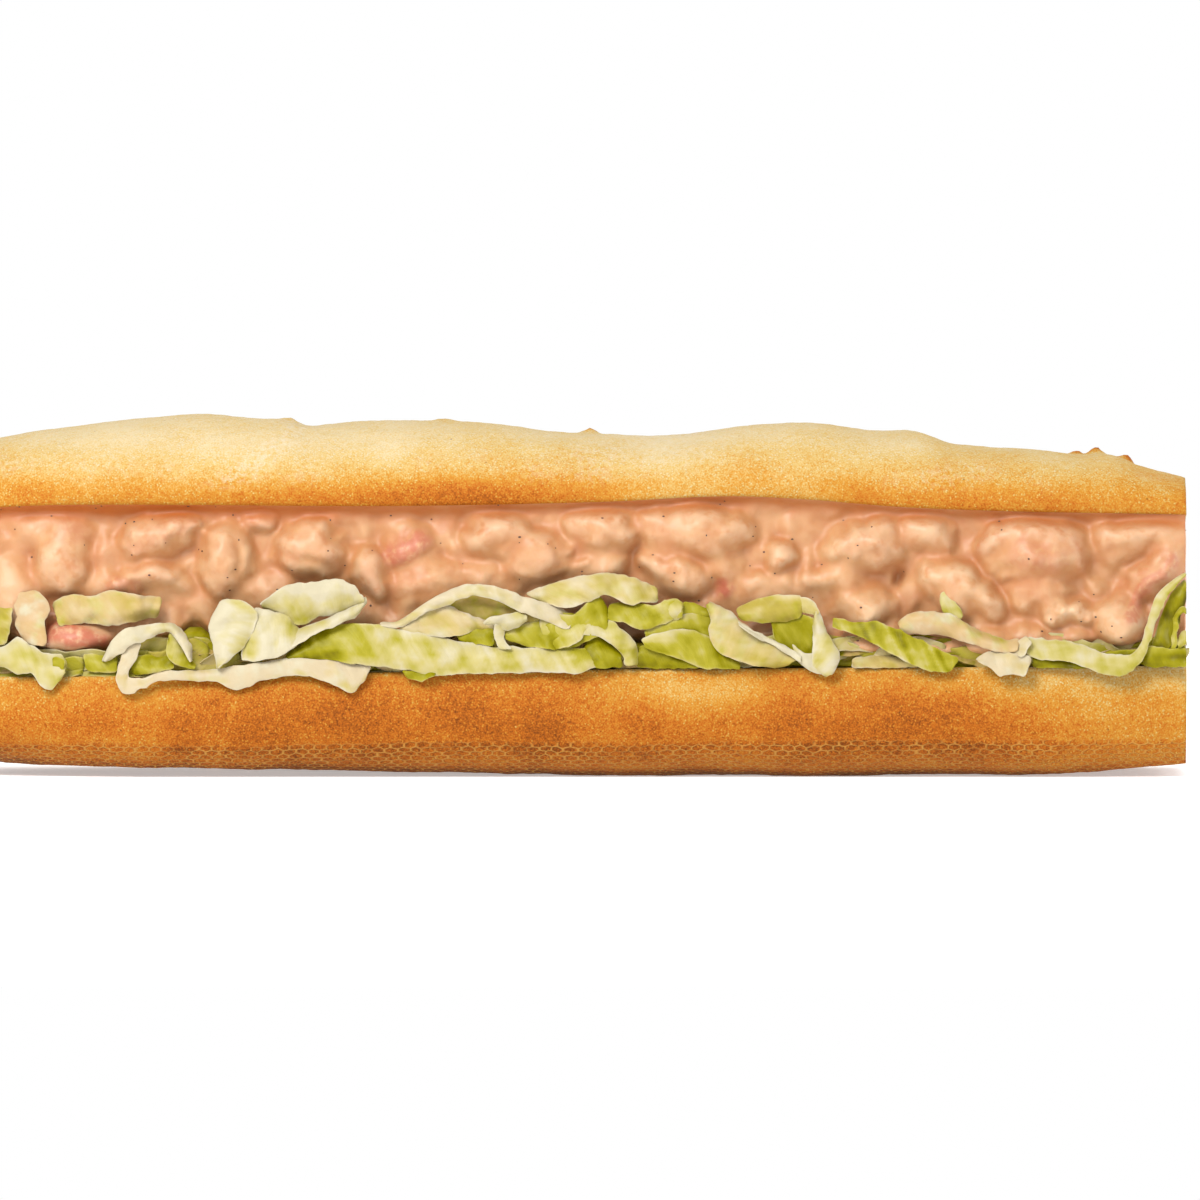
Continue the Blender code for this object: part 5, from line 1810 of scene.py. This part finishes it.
@dataclass
class LettuceBed:
    """The shredded lettuce: the strips seen in front, a tangle behind them and a core tinted dark as painted shade."""

    loaf: Loaf
    seed: int = 34
    layers: tuple[tuple[int, float, float], ...] = ((1, 29.6, 8.0), (1, 28.6, 9.0), (-1, 30.6, 6.0), (-1, 29.4, 8.0))
    blade_tints: tuple[float, ...] = (0.26, 0.36, 0.46, 0.56, 0.7)
    heel_tints: tuple[float, ...] = (0.16, 0.3, 0.44, 0.58)
    cut_tints: tuple[float, ...] = (0.1, 0.25, 0.4, 0.5)
    cut_strips: int = 46
    nose_out: float = 30.0
    core_out: float = 29.0
    core_rings: int = 110
    core_around: int = 44

    def build(self, material: bpy.types.Material) -> list[bpy.types.Object]:
        """Makes the bed.

        Args:
            material: the leaf material.

        Returns:
            Its pieces, the first standing for the CAD node.
        """
        noise = Noise(self.seed)
        front = Surface.joined([strip.surface(noise) for strip in FRONT_STRIPS])
        rest = Surface.joined([shred.surface(noise) for shred in self._tangle()])
        pieces = []
        for name, surface, end in (
            ("front_shreds", front, CUT_END - 0.1),
            ("tangled_shreds", rest, None),
            ("packed_shreds", self._core(), CUT_END - 1.3),
        ):
            made = surface.to_object(name, material)
            if end is not None:
                cut_square(made, end)
            pieces.append(dress(made, Node.LETTUCE, replaces=not pieces))
        return pieces

    def _tangle(self) -> list[Shred]:
        """Strips by rule: a layer behind the front ones, the back, the heel and the cut end.

        Returns:
            The strips.
        """
        draw = random.Random(self.seed)
        made = []
        for side, out, pitch in self.layers:
            along = FILLING_TIP + 5
            while along < CUT_END - 6:
                length = min(draw.uniform(14, 30), CUT_END - draw.uniform(0.3, 1.2) - along)
                if side < 0 or along + length < 7 or along > 20:
                    made.append(self._wavy(draw, along, length, side * out))
                along += pitch * draw.uniform(0.6, 1.4)
        made.extend(self._round_nose(draw, turn) for turn in range(-84, 66, 9))
        made.extend(self._cut_one(draw) for _ in range(self.cut_strips))
        return made

    def _round_nose(self, draw: random.Random, turn: float) -> Shred:
        """One strip that follows the heel's nose.

        Args:
            draw: the seeded draw.
            turn: where it starts round the nose, in degrees.

        Returns:
            The strip.
        """
        up = float(self.loaf.base_rim(FILLING_TIP)) + draw.uniform(1.4, 5.0)
        line = []
        for i in range(5):
            angle = math.radians(turn + draw.uniform(20, 40) * i / 4)
            back, share = (abs(turned) ** (2 / HEEL_ROUNDNESS) for turned in (math.cos(angle), math.sin(angle)))
            here, level = FILLING_TIP + HEEL_LENGTH * (1 - back) - 0.6, up + draw.uniform(-0.8, 0.8)
            line.append((here, level, math.copysign(self.nose_out * share, angle) + draw.uniform(-0.6, 0.6)))
        width, tint, roll = draw.uniform(3.4, 6.2), draw.choice(self.heel_tints), draw.uniform(-30, 30)
        return Shred(tuple(line), self._tapered(width), tint, (roll, roll), 0.6, 0.9, 0.0, 30)

    def _tapered(self, width: float) -> tuple[float, float, float]:
        """Widths of a strip that is slimmer at its ends."""
        return width * 0.7, width, width * 0.8

    def _wavy(self, draw: random.Random, along: float, length: float, out: float) -> Shred:
        """One strip that wanders along a side.

        Args:
            draw: the seeded draw.
            along: where it starts.
            length: how far it runs along the loaf.
            out: how far it stands out, below nought at the back.

        Returns:
            The strip.
        """
        low = float(self.loaf.base_rim(along)) + 1.8
        if out > 0:
            room = 3.0 - 1.8 * float(ease(along, 155.0, 168.0))
        else:
            room = 8.5 - 5.5 * float(ease(along, 190.0, 212.0))
        up = draw.uniform(low, low + room)
        line = []
        for i in range(5):
            here = along + length * i / 4
            share = min(float(heel_share(here, FILLING_TIP)), float(self.loaf.width(here)) / self.loaf.half_width)
            height = min(max(up + draw.uniform(-2.2, 2.2), low), low + room + 1.0)
            line.append((here, height, out * share + draw.uniform(-0.8, 0.8)))
        width = draw.uniform(3.0, 6.4)
        rolls = tuple(draw.uniform(-50, 50) for _ in range(4))
        tint, sauced = draw.choice(self.blade_tints), draw.choice((0.0, 0.3, 0.8))
        return Shred(tuple(line), self._tapered(width), tint, rolls, draw.uniform(-1, 1), 0.8, sauced, 30)

    def _cut_one(self, draw: random.Random) -> Shred:
        """One strip inside the bed that the square cut goes through.

        Args:
            draw: the seeded draw.

        Returns:
            The strip.
        """
        out = draw.uniform(-26, 26)
        up = float(self.loaf.base_rim(CUT_END)) + draw.uniform(0.5, 4.2)
        end = CUT_END - draw.uniform(0.1, 0.9)
        line = tuple((end - 3 * i, up + draw.uniform(-0.5, 0.5), out + draw.uniform(-1, 1)) for i in range(4))
        width, tint = draw.uniform(4.5, 9.0), draw.choice(self.cut_tints)
        return Shred(line, (width,), tint, (90 + draw.uniform(-14, 14),), draw.uniform(-1.6, 1.6), 0.8, 0.0, 18, 2.6)

    def _core(self) -> Surface:
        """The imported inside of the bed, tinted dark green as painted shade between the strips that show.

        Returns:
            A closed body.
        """
        along = np.linspace(FILLING_TIP + 1.0, CUT_END + 1.0, self.core_rings)[:, None]
        share = heel_share(along, FILLING_TIP)
        angle = np.linspace(0, 2 * math.pi, self.core_around, endpoint=False)[None, :]
        out = self.core_out * share * np.sign(np.cos(angle)) * np.abs(np.cos(angle)) ** 0.22
        low, high = self.loaf.base_rim(along) - 0.2, SaucedHeap(self.loaf).low(along) + 0.6
        half = (high - low) / 2 * share**0.25
        up = (low + high) / 2 + half * np.sign(np.sin(angle)) * np.abs(np.sin(angle)) ** 0.28
        points = place(along, out, up)
        noise = Noise(self.seed + 1)
        points[..., 1] += np.sign(points[..., 1]) * noise.soft(points * (0.35, 1, 1), 3.0, 2)
        surface = tube(points)
        # Dark green tint: painted shade for the gaps between the strips; paler over the last 6 mm before the cut.
        paler = 0.2 * ease(surface.points[:, 0], CUT_END - MIDDLE - 6.0, CUT_END - MIDDLE)
        surface.values = {"tint": 0.7 - paler + 0.16 * noise.soft(surface.points, 6.0)}
        surface.values.update(rim=np.zeros(len(surface.points)), sauced=np.zeros(len(surface.points)))
        surface.uv = surface.points[:, [0, 2]]
        return surface


# Small things ---------------------------------------------------------------------------


@dataclass(frozen=True)
class Pepper:
    """Specks of pepper scattered over the sauce by Geometry Nodes."""

    seed: int = 4
    density: float = 13000.0
    size: float = 0.24
    smallest: tuple[float, float, float] = (0.5, 0.5, 0.3)
    largest: tuple[float, float, float] = (1.5, 1.1, 0.7)

    def build(self, carrier: bpy.types.Object, material: bpy.types.Material) -> bpy.types.Object:
        """Scatters the specks.

        Args:
            carrier: the object that they lie on.
            material: the specks' material.

        Returns:
            The specks as one piece.
        """
        tree = bpy.data.node_groups.new("scatter_specks", "GeometryNodeTree")
        add, socket = tree.nodes.new, tree.interface.new_socket
        socket("Geometry", in_out="INPUT", socket_type="NodeSocketGeometry")
        wanted = {
            "Density": ("NodeSocketFloat", self.density),
            "Seed": ("NodeSocketInt", self.seed),
            "Size": ("NodeSocketFloat", self.size * MM),
        }
        sockets = {key: socket(key, in_out="INPUT", socket_type=kind) for key, (kind, _) in wanted.items()}
        socket("Geometry", in_out="OUTPUT", socket_type="NodeSocketGeometry")
        start, end = add("NodeGroupInput"), add("NodeGroupOutput")
        scatter, speck = add("GeometryNodeDistributePointsOnFaces"), add("GeometryNodeMeshIcoSphere")
        speck.inputs["Subdivisions"].default_value = 1
        spread = add("FunctionNodeRandomValue")
        spread.data_type = "FLOAT_VECTOR"
        spread.inputs["Min"].default_value, spread.inputs["Max"].default_value = self.smallest, self.largest
        instance, real = add("GeometryNodeInstanceOnPoints"), add("GeometryNodeRealizeInstances")
        paint = add("GeometryNodeSetMaterial")
        paint.inputs["Material"].default_value = material
        for source, output, target, entry in (
            (start, "Geometry", scatter, "Mesh"),
            (start, "Density", scatter, "Density"),
            (start, "Seed", scatter, "Seed"),
            (start, "Size", speck, "Radius"),
            (start, "Seed", spread, "Seed"),
            (scatter, "Points", instance, "Points"),
            (scatter, "Rotation", instance, "Rotation"),
            (speck, "Mesh", instance, "Instance"),
            (spread, "Value", instance, "Scale"),
            (instance, "Instances", real, "Geometry"),
            (real, "Geometry", paint, "Geometry"),
            (paint, "Geometry", end, "Geometry"),
        ):
            tree.links.new(source.outputs[output], target.inputs[entry])
        made = add_object("pepper_specks", carrier.data.copy())
        step = made.modifiers.new("scatter", "NODES")
        step.node_group = tree
        for key, (_, value) in wanted.items():
            step[sockets[key].identifier] = value
        settle_modifiers(made)
        return dress(made, Node.PRAWNS)


@dataclass(frozen=True)
class Slices:
    """Prawns that the square cut has gone through, flush in the cut face of the filling."""

    loaf: Loaf
    seed: int = 8
    rows: tuple[float, ...] = (31.4, 38.4, 45.6)
    pitch: float = 8.4
    reach: float = 22.0
    headroom: float = 3.4

    def build(self, material: bpy.types.Material) -> bpy.types.Object:
        """Makes the cut prawns.

        Args:
            material: the flesh material.

        Returns:
            The slices as one piece.
        """
        draw = random.Random(self.seed)
        surfaces = []
        for row, up in enumerate(self.rows):
            for column in range(-3, 4):
                out = (column + 0.5 * (row % 2)) * self.pitch + draw.uniform(-1.2, 1.2)
                level = up + draw.uniform(-0.7, 0.7)
                if abs(out) < self.reach and level + self.headroom < float(self.loaf.ceiling(CUT_END, out)):
                    surfaces.append(self._slice(draw, out, level))
        return dress(Surface.joined(surfaces).to_object("cut_prawns", material), Node.PRAWNS)

    def _slice(self, draw: random.Random, out: float, up: float) -> Surface:
        """One slice: a rounded comma of flesh, low and domed.

        Args:
            draw: the seeded draw.
            out: where it lies across the loaf.
            up: how high it lies.

        Returns:
            A closed body that stands a little proud of the cut.
        """
        angle = np.linspace(0, 2 * math.pi, 30, endpoint=False)
        long, wide, turn = draw.uniform(3.6, 4.8), draw.uniform(2.3, 3.1), draw.uniform(0, 2 * math.pi)
        shape = 1 + 0.16 * np.cos(2 * angle + 1.0) + 0.1 * np.cos(3 * angle + draw.uniform(0, 6))
        x, z = long * np.cos(angle) * shape, wide * np.sin(angle) * shape
        z = z + wide * (0.42 * (x / long) ** 2 - 0.2)
        across, height = x * math.cos(turn) - z * math.sin(turn), x * math.sin(turn) + z * math.cos(turn)
        levels = ((1.0, -0.9), (1.0, -0.1), (0.94, 0.12), (0.7, 0.22), (0.4, 0.26), (0.12, 0.28))
        flush = CUT_END - 0.15
        return tube(np.array([place(flush + lift, out + across * size, up + height * size) for size, lift in levels]))


# Stage ----------------------------------------------------------------------------------


@dataclass(frozen=True)
class Studio:
    """A white floor, soft white light and a long lens level with the loaf."""

    frame_width: float = 240.0
    look_along: float = 120.0
    look_up: float = 35.8
    distance: float = 6000.0
    face: float = 31.0
    look_down: float = math.radians(2.0)

    def build(self) -> None:
        """Sets up floor, world, lamps and camera."""
        self._floor()
        self._world()
        self._lamp("key", (-0.5, -1.05, 0.85), 0.55, 27.0)
        self._lamp("fill", (0.4, -1.3, 0.1), 0.8, 3.0)
        self._lamp("side", (1.25, 0.12, 0.4), 0.5, 7.0)
        self._camera()

    def _floor(self) -> None:
        """A wide plain white floor."""
        size = 0.9
        mesh = bpy.data.meshes.new("floor")
        corners = [(-size, -size, 0), (size, -size, 0), (size, size, 0), (-size, size, 0)]
        mesh.from_pydata(corners, [], [(0, 1, 2, 3)])
        pale, paler = (0.86, 0.86, 0.86, 1.0), (0.88, 0.88, 0.88, 1.0)
        mesh.materials.append(Plain("floor", paler, pale, 90.0, 0.8, 0.4).build())
        add_object("floor", mesh)

    def _world(self) -> None:
        """Even white light from all round."""
        world = bpy.data.worlds.new("studio")
        world.use_nodes = True
        sky = world.node_tree.nodes["Background"]
        sky.inputs["Color"].default_value = (1.0, 1.0, 1.0, 1.0)
        sky.inputs["Strength"].default_value = 1.0
        bpy.context.scene.world = world

    def _lamp(self, name: str, spot: tuple[float, float, float], size: float, power: float) -> None:
        """A square soft lamp that faces the loaf.

        Args:
            name: the lamp's name.
            spot: where it stands, in metres.
            size: how wide it is, in metres.
            power: its power in watts.
        """
        light = bpy.data.lights.new(name, "AREA")
        light.shape, light.size, light.energy = "SQUARE", size, power
        lamp = add_object(name, light)
        lamp.location = spot
        lamp.rotation_euler = (Vector((0, 0, 0.03)) - Vector(spot)).to_track_quat("-Z", "Y").to_euler()

    def _camera(self) -> None:
        """A long lens that sees the frame's width across the loaf's front face."""
        data = bpy.data.cameras.new("camera")
        data.sensor_width = 36.0
        data.lens = data.sensor_width * self.distance / self.frame_width
        data.clip_start, data.clip_end = 0.01, 20.0
        camera = add_object("camera", data)
        back, rise = self.distance * math.cos(self.look_down), self.distance * math.sin(self.look_down)
        spot = Vector((self.look_along - MIDDLE, -(back + self.face), self.look_up + rise))
        camera.location = spot * MM
        camera.rotation_euler = (math.pi / 2 - self.look_down, 0, 0)
        bpy.context.scene.camera = camera
        bpy.context.scene.view_settings.view_transform = "Standard"


@dataclass
class PrawnBaguette:
    """The whole sandwich."""

    loaf: Loaf = field(default_factory=Loaf)
    nubs: tuple[Nub, ...] = (
        Nub(118.0, 4.4, 1.5, 1.3, 0.5), Nub(215.6, 4.2, 1.6, 1.0, 0.5), Nub(219.6, 4.0, 1.5, 1.6, 0.6),
        Nub(225.6, 3.6, 1.5, 1.4, 0.6), Nub(88.8, 4.6, 2.2, 0.5, 0.12), Nub(57.6, 4.6, 2.0, 0.6, 0.25),
    )

    def build(self) -> None:
        """Builds every piece in order."""
        crust = Bread("crust_and_crumb").build()
        BreadHalf(self.loaf, Half.BASE).build(crust)
        BreadHalf(self.loaf, Half.TOP, self.nubs, noise=Noise(9)).build(crust)
        heap = SaucedHeap(self.loaf).build(Sauce("pink_sauce").build())
        LettuceBed(self.loaf).build(Leaf("lettuce_leaf").build())
        Pepper().build(heap, Plain("pepper", srgb(70, 44, 30), srgb(120, 60, 40), 0.5, 0.6).build())
        flesh = Plain("prawn_flesh", srgb(252, 212, 176), srgb(244, 180, 140), 2.6, 0.4).build()
        Slices(self.loaf).build(flesh)


def main() -> None:
    """Builds the scene over the frame."""
    logging.basicConfig(level=logging.INFO, format="%(message)s")
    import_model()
    PrawnBaguette().build()
    Studio().build()


if __name__ == "__main__":
    main()
